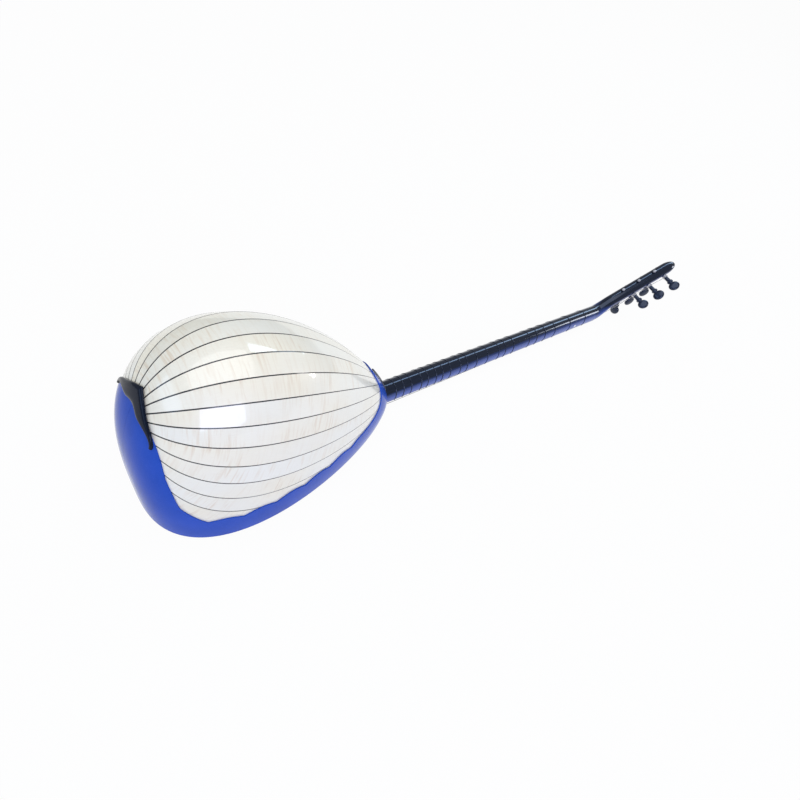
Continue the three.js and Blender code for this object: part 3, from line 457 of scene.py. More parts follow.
def grain_map(grid, offset):
    """Distances in metres along the rows' and the columns' directions of a grid, shifted by an offset."""
    along = np.linalg.norm(np.diff(grid, axis=0), axis=-1).mean(axis=1)
    along = np.concatenate([[0], np.cumsum(along)])[:, None] + np.zeros(grid.shape[:2])
    across = np.linalg.norm(np.diff(grid, axis=1), axis=-1)
    across = np.concatenate([np.zeros((len(grid), 1)), np.cumsum(across, axis=1)], axis=1)
    return np.stack([along, across], axis=-1).reshape(-1, 2) + offset


def rib_piece(node, outer, inner, number):
    """A rib of flamed wood, its grain shifted by its number so that no two are alike."""
    grain = grain_map(outer, GRAIN_STEP * number)
    return make_piece(node + "_strip", *shell(outer, inner), ivory_wood, grain=np.concatenate([grain, grain]))


for index in range(2 * RIBS_EACH_SIDE):
    node = f"rib_{index + 1:02d}"
    rib = rib_piece(node, *rib_grids(RIBS_EACH_SIDE - 1 - index, RIB_ROWS, RIB_COLUMNS), index)
    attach(rib, "instrument")
    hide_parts(node)

# Side ribs. The last strip on each side, wider than the others, from the lowest seam down to the soundboard's
# edge. They are the same wood, and the rim band covers most of them.
SIDE_RIB_ANGLES = (5, 166)
SIDE_RIB_TAIL_ROWS = 12
SIDE_RIB_ROWS = 84
SIDE_RIB_COLUMNS = 16
SIDE_RIB_SEAM_TURN = 0.4


def rim_turn(angles):
    """The turn at which the surface comes down to the rim plane, by halving, or straight down where it never does."""
    low = np.full(angles.shape, -90.0)
    high = np.zeros(angles.shape)
    for _ in range(HALVINGS):
        middle = (low + high) / 2
        above = bowl_point(middle, angles)[..., 2] > 0
        high = np.where(above, middle, high)
        low = np.where(above, low, middle)
    return high


def side_rib_grids(side):
    """Turns shared out evenly from the last seam to the rim plane, on rows of equal angle from the tail pole."""
    arm = np.array([-TAIL_OVERHANG, 0, 0]) - MIDDLE_POINT
    rim_angle = math.degrees(math.acos(-unit(arm) @ POLE_AXIS))
    angles = np.concatenate([
        np.linspace(SIDE_RIB_ANGLES[0], rim_angle, SIDE_RIB_TAIL_ROWS, endpoint=False),
        np.linspace(rim_angle, SIDE_RIB_ANGLES[1], SIDE_RIB_ROWS),
    ])
    top = seam_turn(RIBS_EACH_SIDE) - SIDE_RIB_SEAM_TURN
    share = np.linspace(0, 1, SIDE_RIB_COLUMNS)[None, :]
    turns = top + (rim_turn(angles)[:, None] - top) * share
    outer = bowl_point(turns, angles[:, None])
    inner = lifted(outer, -RIB_THICKNESS)
    for grid in (outer, inner):
        grid[..., 1] = np.minimum(grid[..., 1], -SEAM_WIDTH / 2) * side
        grid[..., 2] = np.maximum(grid[..., 2], 0)
    return outer, inner


side_ribs = {}
for index, (side_name, side) in enumerate((("near", 1), ("far", -1))):
    node = "side_rib_" + side_name
    rib = rib_piece(node, *side_rib_grids(side), 2 * RIBS_EACH_SIDE + index)
    side_ribs[side_name] = rib
    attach(rib, "instrument")
    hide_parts(node)

# Purfling. Thin strips of black wood let into the seams between the ribs, sanded flush and lacquered with them,
# which draw the dark lines from tail to heel. A short ring joins them under the tail cap.
PURFLING_DEPTH = 0.0018
PURFLING_START = 5.8
PURFLING_RING_ANGLES = (4.8, 6.15)
PURFLING_RING_ROWS = 73
PURFLING_SECTION = np.array([[-0.48, 0], [0, 0], [0.48, 0], [0.3, -1], [-0.3, -1]])

# Black wood: near black with a faint brown grain along the instrument and a satin lacquer
seam_black = Finish("black_seam_wood", (0.010, 0.011, 0.014), 0.3, coat=0.6, coat_roughness=0.05)
seam_grain = seam_black.noise((60, 1500, 1500), 2)
seam_black.layer(seam_grain, 0.4, 0.75, (0.035, 0.028, 0.024))
seam_black.bump(seam_grain, 0.00002)


def tube(sections):
    """A body through closed rings of points, rows by ring, with each end closed by a fan about its middle."""
    rings, sides = sections.shape[:2]
    points = np.concatenate([sections.reshape(-1, 3), sections[:1].mean(axis=1), sections[-1:].mean(axis=1)])
    faces = [grid_faces(rings, sides, around=True)]
    first = np.arange(sides)
    for ring, hub in ((first, rings * sides), (first + (rings - 1) * sides, rings * sides + 1)):
        faces.append(np.stack([ring, np.roll(ring, -1), np.full(sides, hub)], axis=-1))
    return points, faces


def gathered(bodies):
    """Several bodies' points and faces as those of one."""
    points, faces, count = [], [], 0
    for body_points, body_faces in bodies:
        points.append(body_points)
        faces += [group + count for group in body_faces]
        count += len(body_points)
    return np.concatenate(points), faces


def purfling_strip(number):
    """A seam's strip: as wide as the seam, flush with the ribs' edges, over a foot that narrows downwards."""
    turn = seam_turn(number)
    angles = pole_angles(PURFLING_START, RIB_ANGLES[1], RIB_ROWS)
    top = bowl_point(turn, angles)
    ahead = unit(bowl_point(turn + 1, angles) - top)
    across = PURFLING_SECTION[None, :, :1] * seam_width(angles)[:, None, None] * ahead[:, None]
    upward = PURFLING_SECTION[None, :, 1:] * PURFLING_DEPTH * bowl_normal(top)[:, None]
    return tube(top[:, None] + across + upward)


def purfling_ring():
    """A flat ring round the tail pole, a little under the surface, from one side rib to the other."""
    turns = np.linspace(seam_turn(RIBS_EACH_SIDE) - 1, seam_turn(-RIBS_EACH_SIDE) + 1, PURFLING_RING_ROWS)[:, None]
    places = bowl_point(turns, np.array(PURFLING_RING_ANGLES)[None, :])
    return shell(lifted(places, -PURFLING_DEPTH / 4), lifted(places, -PURFLING_DEPTH))


strips = [purfling_strip(number) for number in range(-RIBS_EACH_SIDE, RIBS_EACH_SIDE + 1)]
purfling = make_piece("purfling_strips", *gathered([*strips, purfling_ring()]), seam_black)
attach(purfling, "instrument")
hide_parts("purfling")

# Rim band. Two long strips of glossy blue plastic, bent round the bowl's edge and glued on, meeting at the tail
# and at the heel. The upper edge is cut in scallops, and climbs to the cap and round the heel.
SEAT = 0.0003
BOARD_THICKNESS = 0.0032
HUB_X = 0.200
BAND_CLEARANCE = 0.0008
BAND_SKIN = 0.001
BAND_FOOT = 0.0002
BAND_TRIM = 0.0001
BAND_SIDE_HEIGHT = 0.046
BAND_TAIL_HEIGHT = 0.171
BAND_HEEL_HEIGHT = 0.082
BAND_TAIL_TURN = 22
BAND_TAIL_SOFTNESS = 3.6
BAND_HEEL_SPREAD = 14
SCALLOP_DEPTH = 0.0065
SCALLOPS_EACH_SIDE = 12
SCALLOP_COLUMNS = 16
SCALLOP_FADES = (15, 34)
SCALLOP_HEEL_RATE = 3
EDGE_STEPS = 1441
BAND_ROWS = 28


def plan_direction(angle):
    """Level directions by their angle in degrees from the tail, turning to the near side."""
    angle = np.radians(angle)
    return np.stack([-np.cos(angle), -np.sin(angle), 0 * angle], axis=-1)


def around_hub(angle, height):
    """Places on the bowl straight out from the hub at given heights."""
    angle, height = np.broadcast_arrays(angle, height)
    start = np.stack([np.full(angle.shape, HUB_X), 0 * height, height], axis=-1)
    return leave_bowl(start, plan_direction(angle))


def band_edge(angle):
    """The plain edge's height: the side height, plus a soft step up at the tail and a bell shaped rise at the heel."""
    tail = 1 / (1 + np.exp((angle - BAND_TAIL_TURN) / BAND_TAIL_SOFTNESS))
    heel = np.exp(-(((180 - angle) / BAND_HEEL_SPREAD)**2))
    rise_tail, rise_heel = BAND_TAIL_HEIGHT - BAND_SIDE_HEIGHT, BAND_HEEL_HEIGHT - BAND_SIDE_HEIGHT
    return BAND_SIDE_HEIGHT + rise_tail * tail + rise_heel * heel


def band_columns():
    """Plan angles at equal steps along the plain edge, so that each cusp falls on one."""
    fine = np.linspace(0, 180, EDGE_STEPS)
    edge = around_hub(fine, band_edge(fine))
    length = np.concatenate([[0], np.cumsum(np.linalg.norm(np.diff(edge, axis=0), axis=-1))])
    return np.interp(np.linspace(0, length[-1], SCALLOPS_EACH_SIDE * SCALLOP_COLUMNS + 1), length, fine)


def scallop(angles):
    """How far the edge drops under the plain one: most at the cusps, nothing at the middle of each lobe, by a
    half sine, and faded out at the tail and at the heel."""
    place = np.arange(len(angles)) % SCALLOP_COLUMNS / SCALLOP_COLUMNS
    tail_fade = np.clip(angles / SCALLOP_FADES[0] - 1, 0, 1)
    heel_fade = np.clip(SCALLOP_HEEL_RATE * ((180 - angles) / SCALLOP_FADES[1] - 1), 0, 1)
    return -SCALLOP_DEPTH * (1 - np.sin(math.pi * place)) * tail_fade * heel_fade


def band_grids(side):
    """Level rows from under the soundboard's edge to the scalloped edge, on the bowl and lifted off it."""
    angles = band_columns()
    shares = np.concatenate([[0], np.linspace(0, 1, BAND_ROWS)])[:, None]
    places = around_hub(angles[None, :], shares * (band_edge(angles) + scallop(angles))[None, :])
    grids = []
    for distance in (BAND_CLEARANCE + BAND_SKIN - BAND_TRIM, BAND_FOOT):
        grid = lifted(places, distance)
        grid[0, :, 2] = -BOARD_THICKNESS - SEAT
        grid[..., 1] = np.minimum(grid[..., 1], -SEAT / 2) * side
        grids.append(grid)
    return grids


# Glossy blue plastic with a faint cloudiness, a shade deeper under the gloss in patches, and fine flecks
band_blue = Finish("glossy_blue_band", (0.02, 0.075, 0.42), 0.1, tint=(0.3, 0.5, 1), level=0.03)
flecks = band_blue.noise((900, 900, 900), 2)
band_blue.layer(band_blue.noise((22, 22, 22), 4), 0.3, 0.7, (0.03, 0.09, 0.48))
band_blue.layer(flecks, 0.55, 0.8, (0.07, 0.15, 0.62), 0.3)
band_blue.bump(flecks, 0.000004)
bands = {}
for side_name, side in (("near", 1), ("far", -1)):
    band = make_piece(f"rim_band_{side_name}_strip", *shell(*band_grids(side)), band_blue)
    bands[side_name] = band
    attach(band, "instrument")
    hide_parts("rim_band_" + side_name)

# Tail cap. A crescent of black lacquered wood, glued over the place where all the ribs meet at the tail and over
# the top of the rim band. Its edges are rounded and its tips run down both sides of the band.
CAP_LIFT = 0.002
CAP_THICKNESS = 0.0026
CAP_INNER_ANGLE = 6.5
CAP_OUTER_ANGLE = 12
CAP_END_ANGLE = 15
CAP_END_WIDTH_ANGLE = 1.2
CAP_PEAK_ANGLE = 3
CAP_PEAK_SPREAD = 18
CAP_TIP_POWER = 8
CAP_BULGE_SHARE = 0.7
CAP_BULGE_POWER = 5
CAP_ROWS = 121
CAP_COLUMNS = 17
# Painted reflection colour: a blue specular tint that turns the highlights on the black lacquer, nylon and pegs blue,
# standing for bluish light.
BLUE_REFLECTION_TINT = (0.5, 0.65, 1)
CAP_GLOSS = 0.15
# Painted reflection: where the deep blue painted down the cheeks fades in and out, and how far it stops short of the
# front.
PAINTED_REFLECTION_FADE = (0.006, 0.0145)
PAINTED_REFLECTION_EDGE = 0.0015


def cap_grids():
    """Places by their turn over the tail pole, from an inner angle to an outer one that has a peak on the crown
    line, both drawn together at the tips; the top bulges across, and falls to the foot at both edges."""
    turn = np.linspace(0, 180, CAP_ROWS)[:, None]
    to_end = np.abs(np.cos(np.radians(turn)))**CAP_TIP_POWER
    peak = np.exp(-np.abs(turn - 90) / CAP_PEAK_SPREAD)
    inner_angle = CAP_INNER_ANGLE + (CAP_END_ANGLE - CAP_INNER_ANGLE) * to_end
    end_width = CAP_END_ANGLE + CAP_END_WIDTH_ANGLE - CAP_OUTER_ANGLE
    outer_angle = CAP_OUTER_ANGLE + CAP_PEAK_ANGLE * peak + end_width * to_end
    share = np.linspace(0, 1, CAP_COLUMNS)[None, :]
    places = bowl_point(turn, inner_angle + (outer_angle - inner_angle) * share)
    bulge = 1 - CAP_BULGE_SHARE * np.abs(2 * share - 1)**CAP_BULGE_POWER
    return lifted(places, CAP_LIFT + CAP_THICKNESS * bulge), lifted(places, CAP_LIFT)


def black_lacquer(name, gloss, reflection_start=None, up=None, front=0):
    """Deep gloss black: near black with a cool cast, faint polishing haze in the roughness, and a clear coat. Down
    the cheeks, by the distance from a start along an up direction, a painted reflection in deep blue fades in, but
    not on the front."""
    # The blue specular tint is a painted reflection colour.
    finish = Finish(
        name, (0.004, 0.006, 0.013), 0.12, coat=gloss / 2, coat_roughness=0.025, tint=BLUE_REFLECTION_TINT, level=gloss
    )
    haze = finish.noise((40, 160, 160), 5)
    grain = finish.noise((30, 900, 900), 2)
    finish.layer(grain, 0.45, 0.75, (0.008, 0.011, 0.022))
    if up is not None:
        offset = add_node(finish.tree, "VectorMath", {0: finish.place, 1: reflection_start}, operation="SUBTRACT").outputs[0]
        distance = add_node(finish.tree, "VectorMath", {0: offset, 1: up}, operation="DOT_PRODUCT").outputs["Value"]
        fade = finish.ranged(distance, *PAINTED_REFLECTION_FADE, 1, 0)
        behind = finish.ranged(distance, front, front + PAINTED_REFLECTION_EDGE)
        # Painted reflection: deep blue laid on the cheeks, standing for bluish light reflected in the gloss there.
        finish.lay(finish.product(fade, behind), (0.04, 0.085, 0.36))
    finish.link(finish.ranged(haze, 0.3, 0.75, 0.08, 0.18), "Roughness")
    finish.bump(grain, 0.000006)
    return finish


lacquer = black_lacquer("black_gloss_lacquer", CAP_GLOSS)
cap = make_piece("tail_cap_crescent", *shell(*cap_grids()), lacquer, sharp=60)
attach(cap, "instrument")
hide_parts("tail_cap")

# Soundboard. A thin plate of straight grained spruce that closes the bowl's front, joined along its middle line
# from two halves, set inside the rim band and finished with satin lacquer.
BOARD_TOP = -SEAT
BOARD_FACE = BOARD_TOP - BOARD_THICKNESS
BOARD_GAP = 0.0004
BOARD_EDGE = 0.0004
BOARD_STEPS = 181


def board_rings():
    """The bowl's outline in the rim plane, a gap inside the band, at four heights, eased at both faces."""
    angles = np.linspace(0, 180, BOARD_STEPS)
    near = around_hub(angles, 0.0)
    outward = bowl_normal(near)
    outline = near + outward * (BAND_CLEARANCE - BOARD_GAP)
    far, far_outward = outline[-2:0:-1] * [1, -1, 1], outward[-2:0:-1] * [1, -1, 1]
    outline, outward = np.concatenate([outline, far]), np.concatenate([outward, far_outward])
    heights = (BOARD_TOP, BOARD_TOP - BOARD_EDGE, BOARD_FACE + BOARD_EDGE, BOARD_FACE)
    insets = (BOARD_EDGE, 0, 0, BOARD_EDGE)
    rings = [outline - outward * inset + [0, 0, height] for height, inset in zip(heights, insets)]
    return np.array(rings)


# Straight grained spruce: narrow dark lines along the board, their pitch waving slowly, on a honey ground
spruce = Finish("spruce_soundboard", (0.78, 0.6, 0.36), 0.42, coat=0.45, coat_roughness=0.12)
grain_lines = spruce.noise((2.5, 620, 40), 1.5, 0.15)
spruce.layer(spruce.noise((3, 22, 22)), 0.3, 0.7, (0.7, 0.51, 0.28))
spruce.layer(grain_lines, 0.5, 0.72, (0.47, 0.29, 0.13))
spruce.layer(spruce.noise((180, 420, 40), 1), 0.62, 0.8, (0.88, 0.74, 0.5), 0.25)
spruce.bump(grain_lines, 0.00003)
board = make_piece("soundboard_plate", *tube(board_rings()), spruce)
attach(board, "instrument")
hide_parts("soundboard")

# Neck. One piece of hardwood, round at the back and flat in front, tapered towards the nut, lacquered black with a
# painted reflection in deep blue down its cheeks. Its heel is glued to the bowl, and a tongue, the throat, lies over
# the ribs.
NECK_WIDTH = HEEL_WIDTH
NECK_DEPTH = HEEL_DEPTH
NECK_TAPER_SHARE = 0.79
NECK_START = BOWL_END + BAND_CLEARANCE + BAND_SKIN + SEAT
NUT_X = NECK_END + SEAT
NECK_ROWS = 90
NECK_ROUND = 48
NECK_EDGE = 0.0012
NECK_EDGE_STEPS = 5
NECK_GLOSS = 0.5
THROAT_START = 0.348
THROAT_WIDTHS = (0.0024, 0.018)
THROAT_THICKNESS = 0.0022
THROAT_EDGE_SHARE = 0.12
THROAT_ROWS = 25
THROAT_COLUMNS = 17


def neck_share(x):
    """The neck's size at x as a share of its size at the heel."""
    return 1 - (1 - NECK_TAPER_SHARE) * np.clip((x - BOWL_END) / (NUT_X - BOWL_END), 0, 1)


def powered(value, power):
    """A value to a power, with its sign kept."""
    return np.sign(value) * np.abs(value)**power


def neck_outline(x, rise, edge):
    """The neck's section at each x, grown by a rise: a rounded back from side to side, straight cheeks, and a flat
    front with eased corners."""
    x = np.atleast_1d(x)[:, None]
    half = NECK_WIDTH / 2 * neck_share(x) + rise
    depth = NECK_DEPTH * neck_share(x) + rise
    angle = np.linspace(0, math.pi, NECK_ROUND + 1)[None, :]
    y = -half * powered(np.cos(angle), 2 / DEPTH_POWER)
    z = depth * np.abs(np.sin(angle))**(2 / DEPTH_POWER)
    corner = np.linspace(0, math.pi / 2, NECK_EDGE_STEPS)[None, :]
    front = BOARD_FACE - rise
    far_y, corner_z = half - edge + edge * np.cos(corner), front + edge - edge * np.sin(corner)
    near_y = -far_y[:, ::-1]
    y = np.concatenate([y, far_y, near_y], axis=1)
    z = np.concatenate([z, corner_z + 0 * x, corner_z[:, ::-1] + 0 * x], axis=1)
    return np.stack([x + 0 * y, y, z], axis=-1)


def throat_grids():
    """A tongue that widens towards the neck, laid over the bowl's crown, arched across, its wide end running
    level into the neck."""
    shares = np.linspace(0, 1, THROAT_ROWS)[:, None]
    x = THROAT_START + (BOWL_END - SEAT - THROAT_START) * shares
    half = between(*THROAT_WIDTHS, shares) / 2
    across = np.linspace(-1, 1, THROAT_COLUMNS)[None, :]
    y = half * across
    z = bowl_height(x) * (1 - np.abs(y / bowl_half_width(x))**WIDTH_POWER)**(1 / DEPTH_POWER)
    places = np.stack([x + 0 * y, y, z], axis=-1)
    foot = BAND_CLEARANCE + BAND_SKIN + SEAT
    arch = between(THROAT_EDGE_SHARE, 1, np.sqrt(1 - across**2))
    top, bottom = lifted(places, foot + THROAT_THICKNESS * arch), lifted(places, foot)
    for grid, drop in ((top, THROAT_THICKNESS), (bottom, 2 * THROAT_THICKNESS)):
        last = grid[-1:].copy()
        last[..., 0] = NECK_START + THROAT_THICKNESS
        last[..., 2] = np.minimum(last[..., 2], NECK_DEPTH - SEAT) - drop
        yield np.concatenate([grid, last])


neck_x = np.linspace(NECK_START, NECK_END, NECK_ROWS)
# The neck's black lacquer carries a painted reflection in deep blue down its cheeks.
neck_lacquer = black_lacquer("black_neck_lacquer_painted_reflection", NECK_GLOSS, tuple(ORIGIN), (0, 0, 1), BOARD_FACE)
neck = make_piece("neck_shaft", *tube(neck_outline(neck_x, 0, NECK_EDGE)), neck_lacquer)
throat = make_piece("neck_throat", *shell(*throat_grids()), neck_lacquer, sharp=60)
for piece in (neck, throat):
    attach(piece, "instrument")
    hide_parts("neck")

# Tied frets. Clear nylon line, wound three times round the neck at each fret and knotted on the far side, where
# the hand doesn't run. The places follow the traditional scale from the nut to the bridge.
BRIDGE_X = 0.076
FRET_SHARES = (
    0.043, 0.097, 0.149, 0.182, 0.209, 0.234, 0.283, 0.308, 0.328, 0.361, 0.392, 0.419, 0.438, 0.465,
    0.486, 0.503, 0.524, 0.541, 0.566, 0.585, 0.604,
)
FRET_LINE = 0.0005
FRET_TURNS = 3
KNOT_LENGTH = 0.0034
KNOT_HALF = 0.0009
KNOT_HEIGHT = 0.001
KNOT_SINK_SHARE = 0.2
KNOT_END_SHARE = 0.98
KNOT_ROWS = 9
KNOT_SIDES = 10


def circle(count):
    """Angles all the way round, the last one short of the first."""
    return np.linspace(0, 2 * math.pi, count, endpoint=False)


def ring_tube(sections):
    """A body through closed rings of points, rows by ring, with the last ring joined to the first."""
    rings, sides = sections.shape[:2]
    return sections.reshape(-1, 3), [grid_faces(rings + 1, sides, around=True) % (rings * sides)]


def wire(path, radius, side, closed=False, sides=8):
    """A round wire along a path: rings whose plane is square to the path, laid out from a side direction."""
    ahead = np.roll(path, -1, axis=0) - np.roll(path, 1, axis=0)
    if not closed:
        ahead[0], ahead[-1] = path[1] - path[0], path[-1] - path[-2]
    ahead = unit(ahead)
    across = unit(side - ahead * np.sum(ahead * side, axis=-1, keepdims=True))
    upward = np.cross(ahead, across)
    angle = circle(sides)[None, :, None]
    rings = path[:, None] + radius * (np.cos(angle) * across[:, None] + np.sin(angle) * upward[:, None])
    return ring_tube(rings) if closed else tube(rings)


def knot(x):
    """A small lengthwise bead on the neck's far cheek, where the line's ends are tied."""
    share = np.linspace(-KNOT_END_SHARE, KNOT_END_SHARE, KNOT_ROWS)[:, None, None]
    angle = circle(KNOT_SIDES)[None, :, None]
    swollen = KNOT_HALF * np.sqrt(1 - share**2)
    cheek = NECK_WIDTH / 2 * float(neck_share(x))
    middle = np.array([x, cheek + KNOT_HALF * (1 - KNOT_SINK_SHARE), KNOT_HEIGHT])
    along = ALONG * share * KNOT_LENGTH / 2
    return tube(middle + along + swollen * (np.cos(angle) * SIDEWAYS + np.sin(angle) * UPWARD))


# Clear nylon line over black: a smoky grey with a soft gloss, a little uneven from turn to turn
# The blue specular tint is a painted reflection colour.
nylon = Finish("smoky_nylon_line", (0.006, 0.008, 0.016), 0.22, coat=0.2, coat_roughness=0.08, tint=BLUE_REFLECTION_TINT)
line_tone = nylon.noise((700, 60, 60), 2)
nylon.layer(line_tone, 0.35, 0.7, (0.02, 0.026, 0.045))
nylon.bump(line_tone, 0.00001)
fret_bodies = []
for fret_share in FRET_SHARES:
    fret_x = NUT_X - fret_share * (NUT_X - BRIDGE_X)
    for turn in range(FRET_TURNS):
        turn_x = fret_x + (turn - (FRET_TURNS - 1) / 2) * FRET_LINE
        ring = neck_outline(turn_x, FRET_LINE / 2, NECK_EDGE)[0]
        fret_bodies.append(wire(ring, FRET_LINE / 2, ALONG, closed=True))
    fret_bodies.append(knot(fret_x))
frets = make_piece("tied_frets", *gathered(fret_bodies), nylon)
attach(frets, "instrument")
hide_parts("neck")

# Side dot. A small round of mother of pearl, darker and browner in one patch, let into the neck's near cheek by the
# nut to show the hand its place.
DOT_X = 0.862
DOT_DIAMETER = 0.005
DOT_HEIGHT = 0.004
DOT_RISE = 0.0002
DOT_DEPTH = 0.0016
NEARLY_UPRIGHT = 0.9


def turned(profile, start, axis, sides=48):
    """A turned body: each row of the profile is a radius and a distance along the axis from the start."""
    axis = unit(np.asarray(axis, dtype=float))
    first = unit(np.cross(axis, UPWARD if abs(axis @ UPWARD) < NEARLY_UPRIGHT else ALONG))
    second = np.cross(axis, first)
    profile = np.asarray(profile, dtype=float)
    angle = circle(sides)[None, :, None]
    ring = np.cos(angle) * first + np.sin(angle) * second
    return tube(np.asarray(start) + profile[:, 1, None, None] * axis + profile[:, 0, None, None] * ring)


# Mother of pearl: white with slow bands of rose and green, darker and browner in one patch
pearl = Finish("pearl_dot", (0.86, 0.84, 0.82), 0.2, coat=0.8, coat_roughness=0.05)
pearl.layer(pearl.noise((500, 300, 700), 2, 1.2), 0.35, 0.65, (0.8, 0.86, 0.88))
pearl.layer(pearl.noise((260, 260, 260), 1), 0.58, 0.72, (0.5, 0.38, 0.3), 0.5)
dot_start = (DOT_X, -NECK_WIDTH / 2 * float(neck_share(DOT_X)) + DOT_DEPTH, DOT_HEIGHT)
dot_profile = [
    (DOT_DIAMETER / 2, 0), (DOT_DIAMETER / 2, DOT_DEPTH), (DOT_DIAMETER / 2 - DOT_RISE, DOT_DEPTH + DOT_RISE),
    (DOT_DIAMETER / 6, DOT_DEPTH + DOT_RISE),
]
side_dot = make_piece("side_dot_pearl", *turned(dot_profile, dot_start, (0, -1, 0)), pearl)
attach(side_dot, "instrument")
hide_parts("side_dot")

# Headstock. The same black lacquered wood, scarfed to the neck's end and bent back, nearly round in section, with
# a rounded tip and six tapered holes for the pegs.
HEAD_BEND = math.radians(21.7)
HEAD_AXIS_HEIGHT = 0.007
HEAD_LENGTH = 0.1932
HEAD_WIDTH = 0.023
HEAD_THICKNESS = 0.019
HEAD_TIP_LENGTH = 0.022
HEAD_ROOT_LENGTH = 0.044
HEAD_POWER = 2.15
# Where the painted blue reflection on the headstock's cheeks starts and ends.
HEAD_REFLECTION_DROP = 0.0095
HEAD_REFLECTION_END = 0.001
NUT_LENGTH = 0.004
NUT_SINK = 0.003
HEAD_BEND_ROWS = 29
HEAD_SHAFT_ROWS = 12
HEAD_TIP_ROWS = 17
HEAD_TIP_TURN = math.radians(88)
HEAD_SIDES = 64
HEAD_ALONG = np.array([math.cos(HEAD_BEND), 0, math.sin(HEAD_BEND)])
HEAD_UP = np.array([-math.sin(HEAD_BEND), 0, math.cos(HEAD_BEND)])
HEAD_ROOT = np.array([NUT_X, 0, HEAD_AXIS_HEIGHT])


def head_rings():
    """A straight stub under the nut with the neck's own section, a smooth bend on a cubic curve into the head's
    axis while the section turns into a full oval, an even shaft, and a tip that closes as a quarter ellipse.
    Both sections are the cosine and sine of an angle, each to the power two over a power, on two half axes."""
    root_top = NECK_DEPTH * NECK_TAPER_SHARE
    root_front = BOARD_FACE + NUT_SINK
    root_half, root_middle = (root_top - root_front) / 2, (root_top + root_front) / 2
    root_width = NECK_WIDTH / 2 * NECK_TAPER_SHARE
    root_centre = np.array([NUT_X, 0, root_middle])
    start = root_centre + ALONG * (NUT_LENGTH + 2 * SEAT)
    end = HEAD_ROOT + HEAD_ALONG * HEAD_ROOT_LENGTH
    pull = np.linalg.norm(end - start)
    share = np.linspace(0, 1, HEAD_BEND_ROWS)[:, None]
    bend = (
        (2 * share**3 - 3 * share**2 + 1) * start + (share**3 - 2 * share**2 + share) * pull * ALONG
        + (3 * share**2 - 2 * share**3) * end + (share**3 - share**2) * pull * HEAD_ALONG
    )
    eased = share * share * (3 - 2 * share)
    straight = np.linspace(HEAD_ROOT_LENGTH, HEAD_LENGTH - HEAD_TIP_LENGTH, HEAD_SHAFT_ROWS)[1:, None]
    closing = np.linspace(0, HEAD_TIP_TURN, HEAD_TIP_ROWS)[1:, None]
    along = np.concatenate([straight, HEAD_LENGTH - HEAD_TIP_LENGTH + HEAD_TIP_LENGTH * np.sin(closing)])
    shrink = np.concatenate([np.ones(straight.shape), np.cos(closing)])
    centres = np.concatenate([root_centre[None], bend, HEAD_ROOT + HEAD_ALONG * along])
    grow = np.concatenate([[[0]], eased, np.ones(along.shape)])
    shrink = np.concatenate([np.ones((1 + len(eased), 1)), shrink])
    upward = between(UPWARD, HEAD_UP, grow)
    width = between(root_width, HEAD_WIDTH / 2, grow) * shrink
    height = between(root_half, HEAD_THICKNESS / 2, grow) * shrink
    angle = circle(HEAD_SIDES)[None, :]
    cosine, sine = np.cos(angle), np.sin(angle)
    neck_height = np.where(sine > 0, root_top, -root_front) * powered(sine, 2 / DEPTH_POWER)
    raised = between((neck_height - root_middle) / root_half, powered(sine, 2 / HEAD_POWER), grow)
    across = between(powered(cosine, 2 / DEPTH_POWER), powered(cosine, 2 / HEAD_POWER), grow)
    across, raised = (width * across)[..., None] * SIDEWAYS, (height * raised)[..., None] * upward[:, None]
    return centres[:, None] + across + raised


# The headstock's black lacquer carries the same painted reflection in deep blue down its cheeks.
head_lacquer = black_lacquer(
    "black_head_lacquer_painted_reflection", NECK_GLOSS, tuple(HEAD_ROOT + ORIGIN - HEAD_UP * HEAD_REFLECTION_DROP), tuple(HEAD_UP),
    HEAD_REFLECTION_END,
)
headstock = make_piece("headstock_shaft", *tube(head_rings()), head_lacquer)
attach(headstock, "instrument")
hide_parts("headstock")

# Pegs. Six tapered pegs of black turned wood, three from the front and three from the near side, held by
# friction in the headstock. Each has a round flat head, a collar, its string wound beside the wood, and a pale
# tip, which stands out on the head's back and is nearly flush at its far side.
PEGS_EACH_WAY = 3
FIRST_PEG = 0.0699
PEG_PITCH = 0.03607
PEG_REACH = 0.04115
PEG_TIPS = {"front": 0.005, "side": 0.0008}
PEG_THICK = 0.007
PEG_THIN = 0.0054
PEG_CLEARANCE = 0.0003
PEG_HEAD = 0.018
PEG_HEAD_THICKNESS = 0.008
PEG_COLLAR = 0.0095
PEG_COLLAR_LENGTH = 0.005
PEG_PALE_LENGTH = 0.0026
PEG_CORE_SHARE = 0.8
PEG_SHAFT_ROWS = 12
PEG_TIP_START = 0.15
PEG_TIP_ROWS = 7
PEG_HEAD_START = 0.04
PEG_HEAD_ROWS = 33
PEG_HEAD_POWERS = (0.75, 0.8)
WINDING = 0.0086
WINDING_LENGTH = 0.006
WINDING_TURNS = 6
WINDING_LINE = WINDING_LENGTH / WINDING_TURNS
WINDING_SIDES = 28
FRONT_PEG_LEAN = math.radians(11)
PEG_TURNS = {
    "peg_front_1": 82, "peg_front_2": 12, "peg_front_3": 20, "peg_side_1": 8, "peg_side_2": 35, "peg_side_3": 15,
}


def peg_radius(distance, half_body, tip):
    """The shaft's radius at a distance from the headstock's middle, thick at the head end."""
    share = (distance + half_body + tip) / (PEG_REACH + half_body + tip)
    return between(PEG_THIN, PEG_THICK, share) / 2


